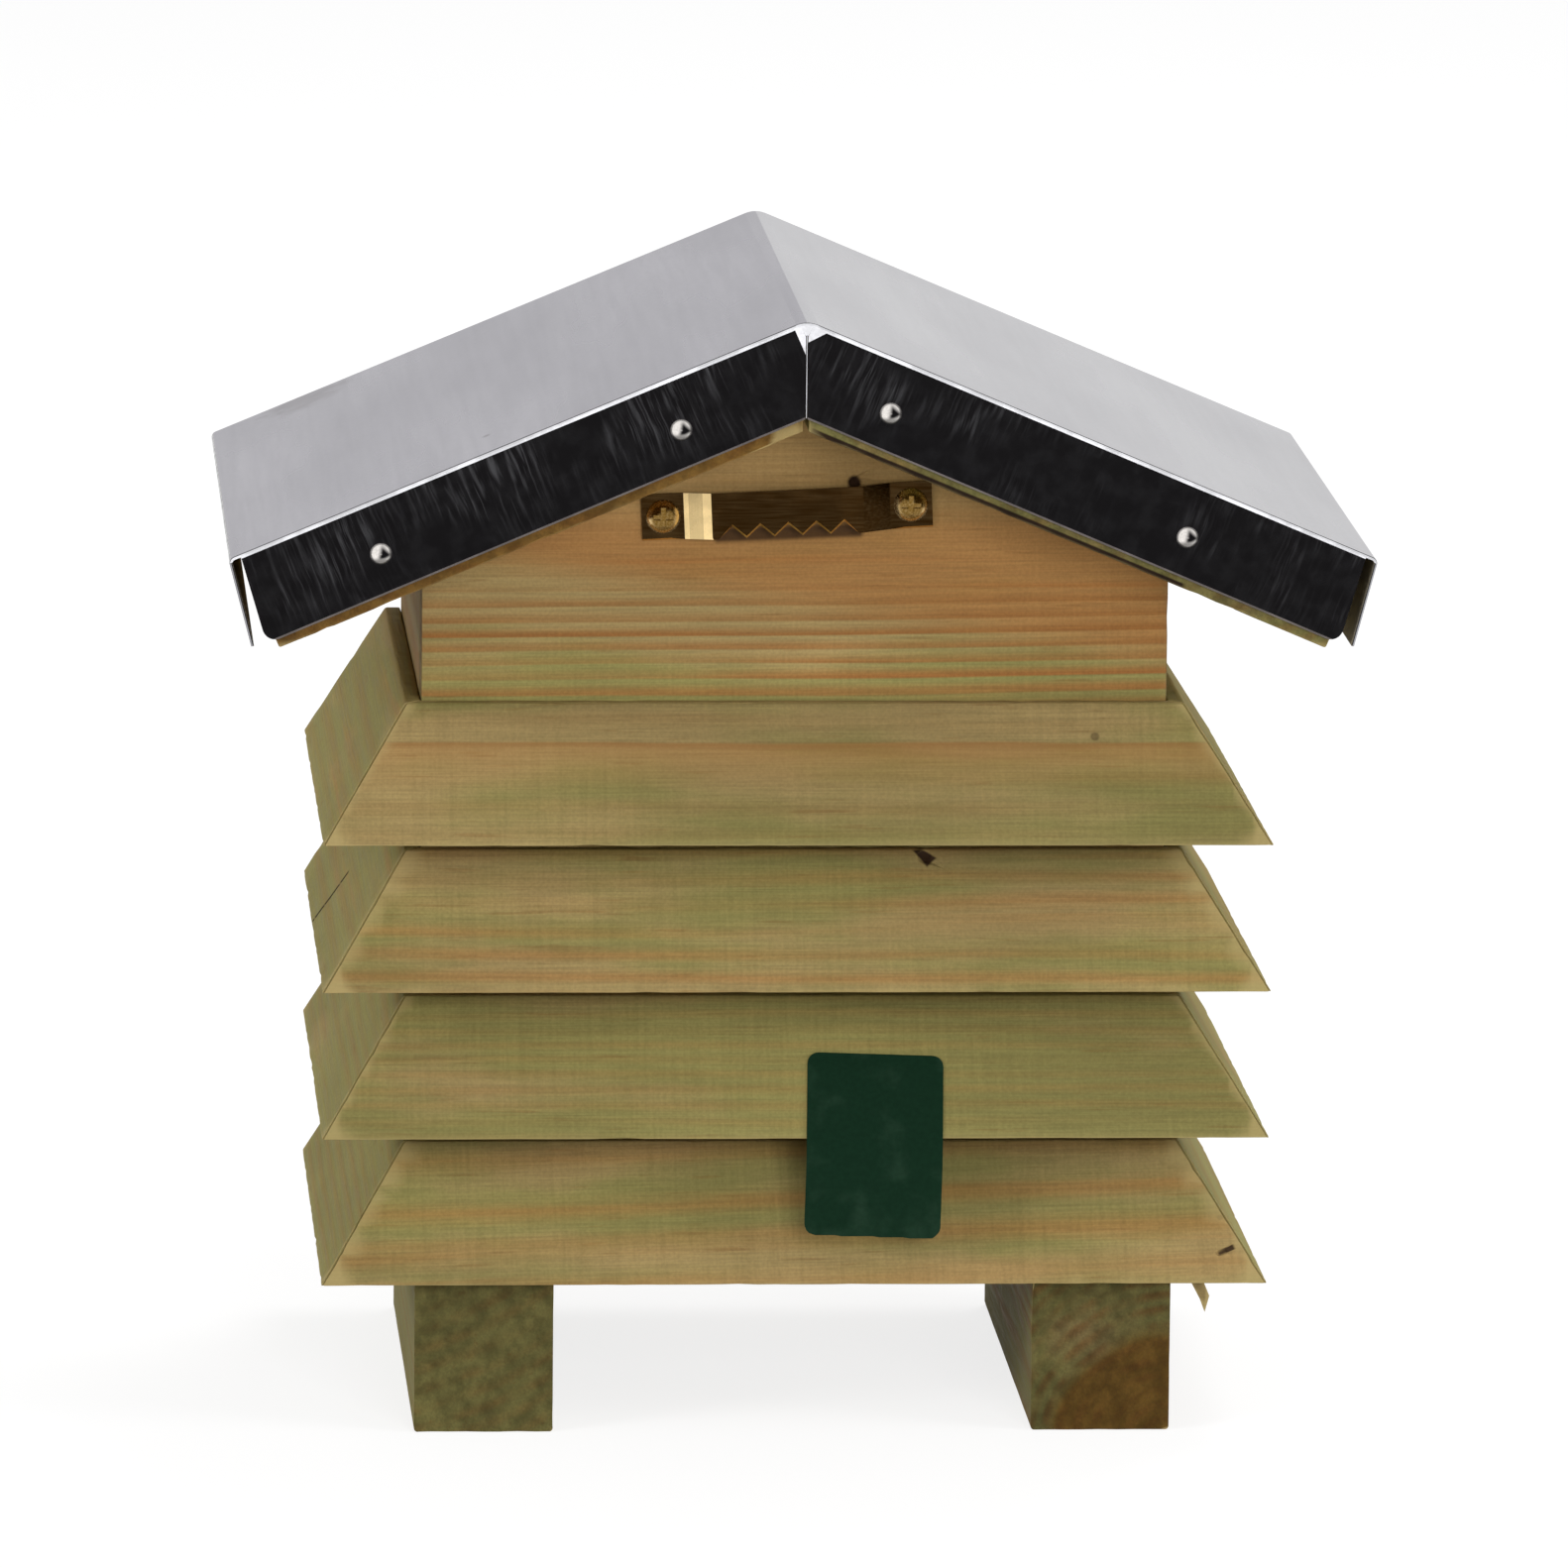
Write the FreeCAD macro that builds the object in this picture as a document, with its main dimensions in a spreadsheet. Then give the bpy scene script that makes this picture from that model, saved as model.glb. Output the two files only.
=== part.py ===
import FreeCAD, Part
import itertools
import math
import os
from types import SimpleNamespace

import Sketcher

# Hive-shaped bee hotel for solitary bees. A nailed box of pine boards carries tiers of bevelled
# louvre boards on its back and sides, mitred at the rear corners. Two thick roof boards carry a
# sheet-metal cap folded down on all four sides. It stands on two runner feet or hangs on a
# saw-tooth hanger, and its open front is packed with nest canes.
# Millimetres and degrees. +Z is up, the open front faces -Y and the hanger is on the +Y side.
# The origin lies on the ground under the middle of the roof. Left and right are -X and +X.

# Driving dimensions: the name, the value and what it measures
SIZES = [
    ("roof_pitch", 22.7, "degrees"),
    ("sheet_thickness", 0.6, "galvanised roof sheet"),
    ("sheet_lip", 19, "depth of the folded fascias and eave lips"),
    ("eave_splay", 8, "degrees that an eave lip stands out from square"),
    ("fold_radius", 0.8, "inside radius of the ridge and eave folds"),
    ("fascia_edge_radius", 0.5, "outside rounding of the fascia folds"),
    ("fascia_corner_radius", 3, "lower outer corners of the fascias"),
    ("fascia_relief", 1.2, "gap between a fascia's end and the eave fold"),
    ("ridge_gap", 0.5, "each side of the middle, between the two halves under the ridge"),
    ("roof_board_thickness", 21, "boards under the sheet"),
    ("roof_board_inset", 2.5, "eave fold to the end of a roof board"),
    ("roof_board_end_gap", 0.5, "roof board's end to the inside of a fascia"),
    ("body_width", 200, "across the lower edges of the louvres"),
    ("body_depth", 147, "rear louvre's lower edge to the open front"),
    ("eave_overhang", 20, "eave folds past the side louvres"),
    ("rear_overhang", 8.5, "rear fascia past the rear louvres"),
    ("front_overhang", 26.5, "front fascia past the open front"),
    ("board_thickness", 12, "boards of the inner box"),
    ("louvre_height", 27.6, "one louvre board"),
    ("tier_gap", 3.7, "one louvre to the next"),
    ("louvre_base", 21.25, "thickness of a louvre at its lower edge"),
    ("louvre_top_edge", 3.4, "thickness of a louvre at its upper edge"),
    ("mitre_gap", 0.3, "open joint at the rear corners"),
    ("gable_lap", 14, "gable board behind the top louvre"),
    ("ceiling_drop", 9.5, "ceiling's underside below the top louvre's upper edge"),
    ("wall_above_louvres", 28.34, "side wall between the top louvre and the roof boards"),
    ("foot_height", 32.6, "runner foot"),
    ("foot_width", 29.4, "runner foot"),
    ("foot_proud", 1.25, "foot's outer face past the inner box"),
    ("foot_rear_setback", 5.5, "rear louvre's lower edge to the foot's rear end"),
    ("foot_front_setback", 12.5, "open front to the foot's front end"),
    ("arris", 0.8, "rounded long edges of the feet"),
    ("hanger_length", 61.2, "saw-tooth hanger, end to end"),
    ("hanger_depth", 9.8, "width of the hanger's strip"),
    ("hanger_thickness", 0.9, "sheet of the hanger"),
    ("hanger_rise", 3.2, "raised middle, off the gable"),
    ("hanger_raised", 31.1, "length of the raised middle"),
    ("hanger_joggle", 6.2, "run of each bend"),
    ("hanger_across", 2, "middle of the hanger, along X"),
    ("hanger_lift", 40.4, "middle of the hanger above the top louvre"),
    ("hanger_tilt", 2.8, "degrees, as it was screwed on"),
    ("hanger_screw_spacing", 52.2, "between the two screws"),
    ("tooth_pitch", 5.9, "saw teeth"),
    ("tooth_depth", 2.6, "saw teeth"),
    ("hanger_screw_head", 7.2, "diameter"),
    ("hanger_screw_dome", 2, "height of the head"),
    ("hanger_screw_shank", 3, "diameter"),
    ("hanger_screw_length", 10, "under the head"),
    ("cross_width", 1.1, "slots of the cross recess"),
    ("cross_reach", 4.2, "slots of the cross recess, end to end"),
    ("cross_depth", 1.2, "cross recess"),
    ("roof_nail_head", 4.6, "diameter"),
    ("roof_nail_dome", 1.4, "height of the domed head"),
    ("roof_nail_shank", 1.9, "diameter"),
    ("roof_nail_length", 16, "under the head"),
    ("roof_nail_inner", 21.8, "inner nails, from the middle of the row"),
    ("roof_nail_outer", 84.1, "outer nails, from the middle of the row"),
    ("roof_nail_shift", 4.2, "middle of the row, along X"),
    ("roof_nail_drop", 11.2, "below the top of the fascia, square to the slope"),
    ("nail_side", 1.8, "square section of the board brads"),
    ("nail_length", 35, "board brads"),
    ("nail_inset", 20, "board brads from the front, the back and the ends"),
    ("roof_board_nail_length", 40, "brads through the roof boards"),
    ("roof_board_nail_sink", 1.6, "below the board's top"),
    ("roof_board_nail_inner", 12, "inner brads from the ridge, along X"),
    ("roof_board_nail_inset", 8.75, "outer brads from the inside of a side board"),
    ("pin_side", 1.2, "square section of the louvre pins"),
    ("pin_length", 22, "louvre pins"),
    ("pin_inset", 42, "louvre pins from the ends of the box"),
    ("pin_rise", 9, "louvre pins above a louvre's lower edge"),
    ("foot_nail_inset", 28, "brads into the feet, from the foot's front and the back board"),
    ("foot_nail_across", 8.8, "brads into the feet, from the inside of a side board"),
    ("fastener_fit", 0.1, "room around each shank"),
    ("cane_least", 18, "diameter of the thinnest canes"),
    ("cane_step", 2, "from one cane size to the next"),
    ("cane_wall", 5.5, "wall of a cane"),
    ("cane_gap", 0.3, "between canes"),
    ("cane_recess", 3, "front edge of the box to the longest canes"),
    ("cane_stagger", 1.6, "step between the canes' front ends"),
]
TIER_COUNT = 4
TOOTH_COUNT = 5
CANE_SIZES = 4
SIDES = {"left": -1, "right": 1}
# Points nearer than this are one point, and canes that overlap by less than the second value only touch
SAME_POINT = 0.01
TOUCH = 1e-6

# Places that follow from the sizes: the name, the formula and what it measures
PLACES = [
    ("louvre_pitch", "louvre_height + tier_gap", "one tier to the next"),
    ("louvres_top", f"foot_height + {TIER_COUNT} * louvre_pitch - tier_gap", "upper edge of the top tier"),
    ("carcass_half", "body_width / 2 - louvre_base", "outside of the inner box, from the middle"),
    ("side_inside", "carcass_half - board_thickness", "inside of a side board, from the middle"),
    ("side_middle", "carcass_half - board_thickness / 2", "middle of a side board's thickness"),
    ("roof_depth", "rear_overhang + body_depth + front_overhang", "over both fascias"),
    ("rear_fascia", "roof_depth / 2", "outer face of the rear fascia, along Y"),
    ("louvre_rear", "rear_fascia - rear_overhang", "lower edge of the rear louvres, along Y"),
    ("carcass_rear", "louvre_rear - louvre_base", "rear of the inner box, along Y"),
    ("back_inside", "carcass_rear - board_thickness", "inside of the back board, along Y"),
    ("body_front", "louvre_rear - body_depth", "open front, along Y"),
    ("front_inside", "body_front + board_thickness", "inside of the front gable, along Y"),
    ("floor_top", "foot_height + board_thickness", "floor of the nest chamber"),
    ("ceiling_under", "louvres_top - ceiling_drop", "ceiling of the nest chamber"),
    ("ceiling_middle", "ceiling_under + board_thickness / 2", "middle of the ceiling board"),
    ("ceiling_top", "ceiling_under + board_thickness", "top of the ceiling board"),
    ("gable_base", "louvres_top - gable_lap", "lower edge of the rear gable"),
    ("foot_rear", "louvre_rear - foot_rear_setback", "rear end of the feet, along Y"),
    ("foot_front", "body_front + foot_front_setback", "front end of the feet, along Y"),
    ("foot_outside", "carcass_half + foot_proud", "outer face of a foot, from the middle"),
    ("nail_bite", "nail_length - board_thickness", "brad past the first board"),
    ("pin_bite", "pin_length - board_thickness", "pin past the first board"),
    ("slope_length", "(body_width / 2 + eave_overhang) / cos(roof_pitch)", "ridge to the eave fold"),
    ("roof_build", "sheet_thickness + roof_board_thickness", "sheet and roof board together"),
    ("wall_top", "louvres_top + wall_above_louvres", "outside of a side board under the roof"),
    ("roof_rise", "roof_build / cos(roof_pitch) + carcass_half * tan(roof_pitch)", "side wall to ridge"),
    ("ridge_height", "wall_top + roof_rise", "top of the sheet at the ridge"),
    ("roof_board_end", "rear_fascia - sheet_thickness - roof_board_end_gap", "along Y"),
    ("hanger_up", "louvres_top + hanger_lift", "middle of the hanger"),
]

doc = FreeCAD.newDocument("BeeHotel")
sheet = doc.addObject("Spreadsheet::Sheet", "Sizes")
rows = SIZES + [(alias, "=" + formula, note) for alias, formula, note in PLACES]
for row, (alias, content, note) in enumerate(rows, start=1):
    sheet.set(f"A{row}", alias)
    sheet.set(f"B{row}", str(content))
    sheet.setAlias(f"B{row}", alias)
    sheet.set(f"C{row}", note)
doc.recompute()

# Each of them as an expression
size = SimpleNamespace(**{alias: f"Sizes.{alias}" for alias, content, note in rows})
nodes = []


def number(expression):
    """The value of an expression, in millimetres or degrees."""
    return float(sheet.evalExpression(expression))


def hole_radius(diameter):
    """Radius of the hole for a shank."""
    return f"({diameter} / 2 + {size.fastener_fit})"


def tier_base(tier):
    """Height of a louvre's lower edge."""
    return f"({size.foot_height} + {tier} * {size.louvre_pitch})"


def on_slope(side, along, inward):
    """A point of the roof's section, along the slope and square in from the sheet's top."""
    across = f"({along}) * cos({size.roof_pitch}) - ({inward}) * sin({size.roof_pitch})"
    down = f"({along}) * sin({size.roof_pitch}) + ({inward}) * cos({size.roof_pitch})"
    return (f"{side} * ({across})", f"({size.ridge_height} - ({down}))")


def below_sheet(across, inward):
    """Height of the plane that lies square in from the sheet's top, at a distance from the middle."""
    plumb = f"({inward}) / cos({size.roof_pitch})"
    return f"({size.ridge_height} - {plumb} - ({across}) * tan({size.roof_pitch}))"


def under_roof(across):
    """Height of the roof boards' underside at a distance from the middle."""
    return below_sheet(across, size.roof_build)


def new_body(label):
    """An empty body, listed for export under its label."""
    body = doc.addObject("PartDesign::Body", label)
    body.Label = label
    nodes.append(body)
    return body


def origin_plane(body, role):
    """One of the body's own origin planes."""
    return next(item for item in body.Origin.OriginFeatures if item.Role == role)


def new_sketch(body, role, offset="0"):
    """A sketch on an origin plane, moved along the plane's normal, which is -Y for the XZ plane."""
    sketch = body.newObject("Sketcher::SketchObject", body.Label + "_sketch")
    sketch.AttachmentSupport = [(origin_plane(body, role), "")]
    sketch.MapMode = "FlatFace"
    sketch.setExpression("AttachmentOffset.Base.z", offset)
    return sketch


def place_point(sketch, geometry, position, point):
    """Tie a point of a sketch to its place from the sketch's origin."""
    for kind, expression in zip(("DistanceX", "DistanceY"), point):
        constraint = Sketcher.Constraint(kind, -1, 1, geometry, position, number(expression))
        index = sketch.addConstraint(constraint)
        sketch.setExpression(f"Constraints[{index}]", expression)


def add_outline(sketch, corners, dome=None):
    """A closed outline through the corners, with an arc about the up axis after corner dome."""
    first = sketch.GeometryCount
    points = [FreeCAD.Vector(number(across), number(up), 0) for across, up in corners]
    for index, start in enumerate(points):
        end = points[(index + 1) % len(points)]
        edge = Part.LineSegment(start, end)
        if index == dome:
            rise = end.y - start.y
            radius = (start.x**2 + rise**2) / (2 * rise)
            centre = FreeCAD.Vector(0, end.y - radius, 0)
            begin = math.atan2(start.y - centre.y, start.x)
            circle = Part.Circle(centre, FreeCAD.Vector(0, 0, 1), radius)
            edge = Part.ArcOfCircle(circle, begin, math.pi / 2)
        sketch.addGeometry(edge, False)
    for index, corner in enumerate(corners):
        following = first + (index + 1) % len(corners)
        sketch.addConstraint(Sketcher.Constraint("Coincident", first + index, 2, following, 1))
        place_point(sketch, first + index, 1, corner)
    if dome is not None:
        sketch.addConstraint(Sketcher.Constraint("PointOnObject", first + dome, 3, -2))


def add_circle(sketch, centre, radius):
    """A circle with its centre and radius tied to expressions."""
    point = FreeCAD.Vector(number(centre[0]), number(centre[1]), 0)
    circle = sketch.addGeometry(Part.Circle(point, FreeCAD.Vector(0, 0, 1), number(radius)), False)
    index = sketch.addConstraint(Sketcher.Constraint("Radius", circle, number(radius)))
    sketch.setExpression(f"Constraints[{index}]", radius)
    place_point(sketch, circle, 3, centre)


def pad(body, sketch, length, symmetric=False):
    """Extrude a sketch along its normal, or half each way."""
    feature = body.newObject("PartDesign::Pad", body.Label + "_pad")
    feature.Profile = sketch
    feature.setExpression("Length", length)
    if symmetric:
        feature.SideType = "Symmetric"
    return feature


def pocket(body, sketch, depth=None, along_normal=False):
    """Cut a sketch out of the body against its normal or along it, and see that material came away."""
    doc.recompute()
    before = body.Shape.Volume
    feature = body.newObject("PartDesign::Pocket", body.Label + "_pocket")
    feature.Profile = sketch
    feature.Reversed = along_normal
    if depth is None:
        feature.Type = "ThroughAll"
    else:
        feature.setExpression("Length", depth)
    doc.recompute()
    if before - feature.Shape.Volume < SAME_POINT:
        raise RuntimeError(f"{body.Label}: a pocket cut nothing")
    return feature


def drill(body, role, offset, centres, radius, depth=None, along_normal=False):
    """Round holes square to an origin plane."""
    sketch = new_sketch(body, role, offset)
    for centre in centres:
        add_circle(sketch, centre, radius)
    return pocket(body, sketch, depth, along_normal)


def punch(body, role, offset, centres, side, depth=None, along_normal=False):
    """Square holes for brads, square to an origin plane."""
    sketch = new_sketch(body, role, offset)
    half = f"({side} / 2 + {size.fastener_fit})"
    for across, up in centres:
        low = (f"({across} - {half})", f"({up} - {half})")
        high = (f"({across} + {half})", f"({up} + {half})")
        add_outline(sketch, rectangle(low, high))
    return pocket(body, sketch, depth, along_normal)


def punch_both_edges(body, half_width, centres):
    """Blind holes for board brads from both side edges of a board towards its middle."""
    punch(body, "YZ_Plane", half_width, centres, size.nail_side, size.nail_bite)
    punch(body, "YZ_Plane", f"-{half_width}", centres, size.nail_side, size.nail_bite, along_normal=True)


def round_edges(body, edge_test, radius):
    """Fillet the edges of the body's tip that pass a test."""
    doc.recompute()
    tip = body.Tip
    names = []
    for index, edge in enumerate(tip.Shape.Edges, start=1):
        if edge_test(edge):
            names.append(f"Edge{index}")
    feature = body.newObject("PartDesign::Fillet", body.Label + "_fillet")
    feature.Base = (tip, names)
    feature.setExpression("Radius", radius)
    doc.recompute()


def along_y_at(*corners):
    """Edge test: an edge along Y with both ends at one of the section's corners."""
    spots = [(number(across), number(up)) for across, up in corners]

    def passes(edge):
        ends = [vertex.Point for vertex in edge.Vertexes]
        if len(ends) != 2 or abs(ends[0].y - ends[1].y) < SAME_POINT:
            return False
        for x, z in spots:
            if all(math.hypot(end.x - x, end.z - z) < SAME_POINT for end in ends):
                return True
        return False

    return passes


def on_roof_edge(edge):
    """Edge test: a straight edge where the roof's top turns down into a fascia."""
    face = number(size.rear_fascia)
    for vertex in edge.Vertexes:
        point = vertex.Point
        top = number(below_sheet(str(abs(point.x)), "0"))
        if abs(abs(point.y) - face) > SAME_POINT or abs(point.z - top) > SAME_POINT:
            return False
    return isinstance(edge.Curve, Part.Line)


def prism(label, corners, rear, length):
    """A board whose section lies in XZ, from its rear end forward along -Y."""
    body = new_body(label)
    sketch = new_sketch(body, "XZ_Plane", f"-({rear})")
    add_outline(sketch, corners)
    pad(body, sketch, length)
    return body


def rectangle(low, high):
    """Corners of a rectangle between two opposite corners."""
    return [low, (high[0], low[1]), high, (low[0], high[1])]


def revolve(label, corners, dome=None):
    """A turned piece about Y, pointing along -Y. It is a pattern for a group, so it isn't exported."""
    body = doc.addObject("PartDesign::Body", label + "_pattern")
    sketch = new_sketch(body, "XY_Plane")
    add_outline(sketch, corners, dome)
    feature = body.newObject("PartDesign::Revolution", label + "_turned")
    feature.Profile = sketch
    feature.ReferenceAxis = (sketch, ["V_Axis"])
    feature.Angle = 360
    doc.recompute()
    return body


def group(label, pattern, seats):
    """Copies of one fastener, each driven in at a point along a direction."""
    points_along = FreeCAD.Vector(0, -1, 0)
    copies = []
    for point, direction in seats:
        where = FreeCAD.Vector(*[number(expression) for expression in point])
        copy = pattern.Shape.copy()
        copy.Placement = FreeCAD.Placement(where, FreeCAD.Rotation(points_along, FreeCAD.Vector(*direction)))
        copies.append(copy)
    node = doc.addObject("Part::Feature", label)
    node.Label = label
    node.Shape = Part.makeCompound(copies)
    nodes.append(node)


# Where the hidden fasteners go
floor_middle = f"({size.foot_height} + {size.board_thickness} / 2)"
side_nail_ends = [f"({size.front_inside} + {size.nail_inset})", f"({size.back_inside} - {size.nail_inset})"]
floor_nails = [(end, floor_middle) for end in side_nail_ends]
ceiling_nails = [(end, size.ceiling_middle) for end in side_nail_ends]
front_gable_nails = [(f"({size.body_front} + {size.board_thickness} / 2)", size.ceiling_middle)]
back_board_nail_heights = [
    f"({size.floor_top} + {size.nail_inset})",
    f"({size.gable_base} - {size.nail_inset})",
]
back_gable_nail_height = f"({size.gable_base} + {size.gable_lap} / 2)"
foot_nail_ends = [
    f"({size.foot_front} + {size.foot_nail_inset})",
    f"({size.back_inside} - {size.foot_nail_inset})",
]
foot_nail_across = f"({size.side_inside} - {size.foot_nail_across})"
pin_heights = [f"({tier_base(tier)} + {size.pin_rise})" for tier in range(TIER_COUNT)]
side_pin_ends = [f"({size.body_front} + {size.pin_inset})", f"({size.back_inside} - {size.pin_inset})"]
back_pin_ends = [f"{side} * ({size.carcass_half} - {size.pin_inset})" for side in SIDES.values()]
roof_board_nails = [size.roof_board_nail_inner, f"({size.side_inside} - {size.roof_board_nail_inset})"]
gable_middles = {
    "front": f"({size.body_front} + {size.board_thickness} / 2)",
    "back": f"({size.carcass_rear} - {size.board_thickness} / 2)",
}


def build_feet():
    """Two runners from front to back, with rounded long edges."""
    for name, side in SIDES.items():
        inside = f"({size.foot_outside} - {size.foot_width})"
        corners = rectangle((f"{side} * {inside}", "0"), (f"{side} * {size.foot_outside}", size.foot_height))
        body = prism(f"{name}_foot", corners, size.foot_rear, f"({size.foot_rear} - {size.foot_front})")
        round_edges(body, along_y_at(*corners), size.arris)
        centres = [(f"{side} * {foot_nail_across}", end) for end in foot_nail_ends]
        punch(body, "XY_Plane", size.foot_height, centres, size.nail_side, size.nail_bite)


def build_floor():
    """Floor of the nest chamber, on the feet."""
    corners = rectangle((f"-{size.side_inside}", size.foot_height), (size.side_inside, size.floor_top))
    body = prism("floor_board", corners, size.back_inside, f"({size.back_inside} - {size.body_front})")
    punch_both_edges(body, size.side_inside, floor_nails)
    places = itertools.product(SIDES.values(), foot_nail_ends)
    centres = [(f"{side} * {foot_nail_across}", end) for side, end in places]
    punch(body, "XY_Plane", size.floor_top, centres, size.nail_side)


def build_ceiling():
    """Board over the nest chamber, behind the front gable."""
    corners = rectangle((f"-{size.side_inside}", size.ceiling_under), (size.side_inside, size.ceiling_top))
    body = prism("ceiling_board", corners, size.back_inside, f"({size.back_inside} - {size.front_inside})")
    punch_both_edges(body, size.side_inside, ceiling_nails)


def build_side_boards():
    """Side walls of the inner box, bevelled on top to the roof boards."""
    for name, side in SIDES.items():
        corners = [
            (f"{side} * {size.side_inside}", size.foot_height),
            (f"{side} * {size.carcass_half}", size.foot_height),
            (f"{side} * {size.carcass_half}", under_roof(size.carcass_half)),
            (f"{side} * {size.side_inside}", under_roof(size.side_inside)),
        ]
        length = f"({size.back_inside} - {size.body_front})"
        body = prism(f"{name}_side_board", corners, size.back_inside, length)
        highest_x = size.carcass_half if side > 0 else f"-{size.side_inside}"
        nails = floor_nails + ceiling_nails + front_gable_nails
        punch(body, "YZ_Plane", highest_x, nails, size.nail_side)
        pins = list(itertools.product(side_pin_ends, pin_heights))
        punch(body, "YZ_Plane", highest_x, pins, size.pin_side)
        heights = back_board_nail_heights + [back_gable_nail_height]
        ends = [(f"{side} * {size.side_middle}", up) for up in heights]
        rear_end = f"-{size.back_inside}"
        punch(body, "XZ_Plane", rear_end, ends, size.nail_side, size.nail_bite, along_normal=True)


def build_back_board():
    """Lower back wall, behind the louvres."""
    corners = rectangle((f"-{size.carcass_half}", size.foot_height), (size.carcass_half, size.gable_base))
    body = prism("back_board", corners, size.carcass_rear, size.board_thickness)
    places = itertools.product(SIDES.values(), back_board_nail_heights)
    nails = [(f"{side} * {size.side_middle}", up) for side, up in places]
    punch(body, "XZ_Plane", f"-{size.back_inside}", nails, size.nail_side)
    pins = list(itertools.product(back_pin_ends, pin_heights))
    punch(body, "XZ_Plane", f"-{size.back_inside}", pins, size.pin_side)


def gable_outline(half_width, base):
    """Five-sided gable under the roof boards."""
    return [
        (f"-{half_width}", base),
        (half_width, base),
        (half_width, under_roof(half_width)),
        ("0", under_roof("0")),
        (f"-{half_width}", under_roof(half_width)),
    ]


def punch_for_roof_boards(body, middle):
    """Holes in a gable's sloping edges for the nails through the roof boards."""
    for across in roof_board_nails:
        centres = [(f"{side} * {across}", middle) for side in SIDES.values()]
        depth = f"({size.ridge_height} - ({roof_nail_top(across)}) + {size.roof_board_nail_length})"
        punch(body, "XY_Plane", size.ridge_height, centres, size.nail_side, depth)


def roof_nail_top(across):
    """Top of a brad in a roof board, sunk below the board's face."""
    return f"({below_sheet(across, size.sheet_thickness)} - {size.roof_board_nail_sink})"


def hanger_screw_point(end):
    """Where a hanger screw enters the gable, along X and Z."""
    reach = f"{end} * {size.hanger_screw_spacing} / 2"
    across = f"({size.hanger_across} + {reach} * cos({size.hanger_tilt}))"
    return (across, f"({size.hanger_up} - {reach} * sin({size.hanger_tilt}))")


def build_gables():
    """Rear gable board over the whole width, and front gable between the side boards."""
    outline = gable_outline(size.carcass_half, size.gable_base)
    rear = prism("back_gable", outline, size.carcass_rear, size.board_thickness)
    nails = [(f"{side} * {size.side_middle}", back_gable_nail_height) for side in SIDES.values()]
    punch(rear, "XZ_Plane", f"-{size.back_inside}", nails, size.nail_side)
    screws = [hanger_screw_point(end) for end in SIDES.values()]
    bite = f"({size.hanger_screw_length} - {size.hanger_thickness})"
    screw_hole = hole_radius(size.hanger_screw_shank)
    drill(rear, "XZ_Plane", f"-{size.carcass_rear}", screws, screw_hole, bite, along_normal=True)
    punch_for_roof_boards(rear, gable_middles["back"])
    outline = gable_outline(size.side_inside, size.ceiling_under)
    front = prism("front_gable", outline, size.front_inside, size.board_thickness)
    punch_both_edges(front, size.side_inside, front_gable_nails)
    punch_for_roof_boards(front, gable_middles["front"])


def louvre_section(sign, inner, base):
    """Section of a bevelled louvre: thick below, thin on top, flat against the box."""
    return [
        (inner, base),
        (f"({inner} + {sign} * {size.louvre_base})", base),
        (f"({inner} + {sign} * {size.louvre_top_edge})", f"({base} + {size.louvre_height})"),
        (inner, f"({base} + {size.louvre_height})"),
    ]


def mitre_line(side, opening):
    """Two points of the 45 degree joint in plan, moved by the opening towards the middle."""
    points = []
    for reach in (f"- {size.louvre_base}", f"+ 2 * {size.louvre_base}"):
        across = f"{side} * ({size.carcass_half} {reach} - {opening})"
        points.append((across, f"({size.carcass_rear} {reach})"))
    return points


def build_back_louvres():
    """Rear louvres, mitred at both ends."""
    for tier in range(TIER_COUNT):
        body = new_body(f"back_louvre_{tier + 1}")
        sketch = new_sketch(body, "YZ_Plane")
        add_outline(sketch, louvre_section(1, size.carcass_rear, tier_base(tier)))
        pad(body, sketch, size.body_width, symmetric=True)
        mitres = new_sketch(body, "XY_Plane")
        for side in SIDES.values():
            start, end = mitre_line(side, f"{size.mitre_gap} * sqrt(2)")
            add_outline(mitres, [start, end, (end[0], start[1])])
        pocket(body, mitres, along_normal=True)
        pins = [(across, pin_heights[tier]) for across in back_pin_ends]
        punch(body, "XZ_Plane", f"-{size.carcass_rear}", pins, size.pin_side, size.pin_bite)


def build_side_louvres():
    """Side louvres, square at the open front and mitred at the rear."""
    for (name, side), tier in itertools.product(SIDES.items(), range(TIER_COUNT)):
        body = new_body(f"{name}_louvre_{tier + 1}")
        inner = f"{side} * {size.carcass_half}"
        sketch = new_sketch(body, "XZ_Plane", f"-{size.louvre_rear}")
        add_outline(sketch, louvre_section(side, inner, tier_base(tier)))
        pad(body, sketch, size.body_depth)
        mitre = new_sketch(body, "XY_Plane")
        start, end = mitre_line(side, "0")
        add_outline(mitre, [start, end, (start[0], end[1])])
        pocket(body, mitre, along_normal=True)
        pins = [(along, pin_heights[tier]) for along in side_pin_ends]
        punch(body, "YZ_Plane", inner, pins, size.pin_side, size.pin_bite, along_normal=side > 0)


def roof_nail_points():
    """The row of domed nails in a fascia, along X and Z."""
    reaches = [size.roof_nail_outer, size.roof_nail_inner]
    points = []
    for side, reach in itertools.product(SIDES.values(), reaches):
        across = f"({size.roof_nail_shift} + {side} * {reach})"
        points.append((across, below_sheet(f"{side} * {across}", size.roof_nail_drop)))
    return points


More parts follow.
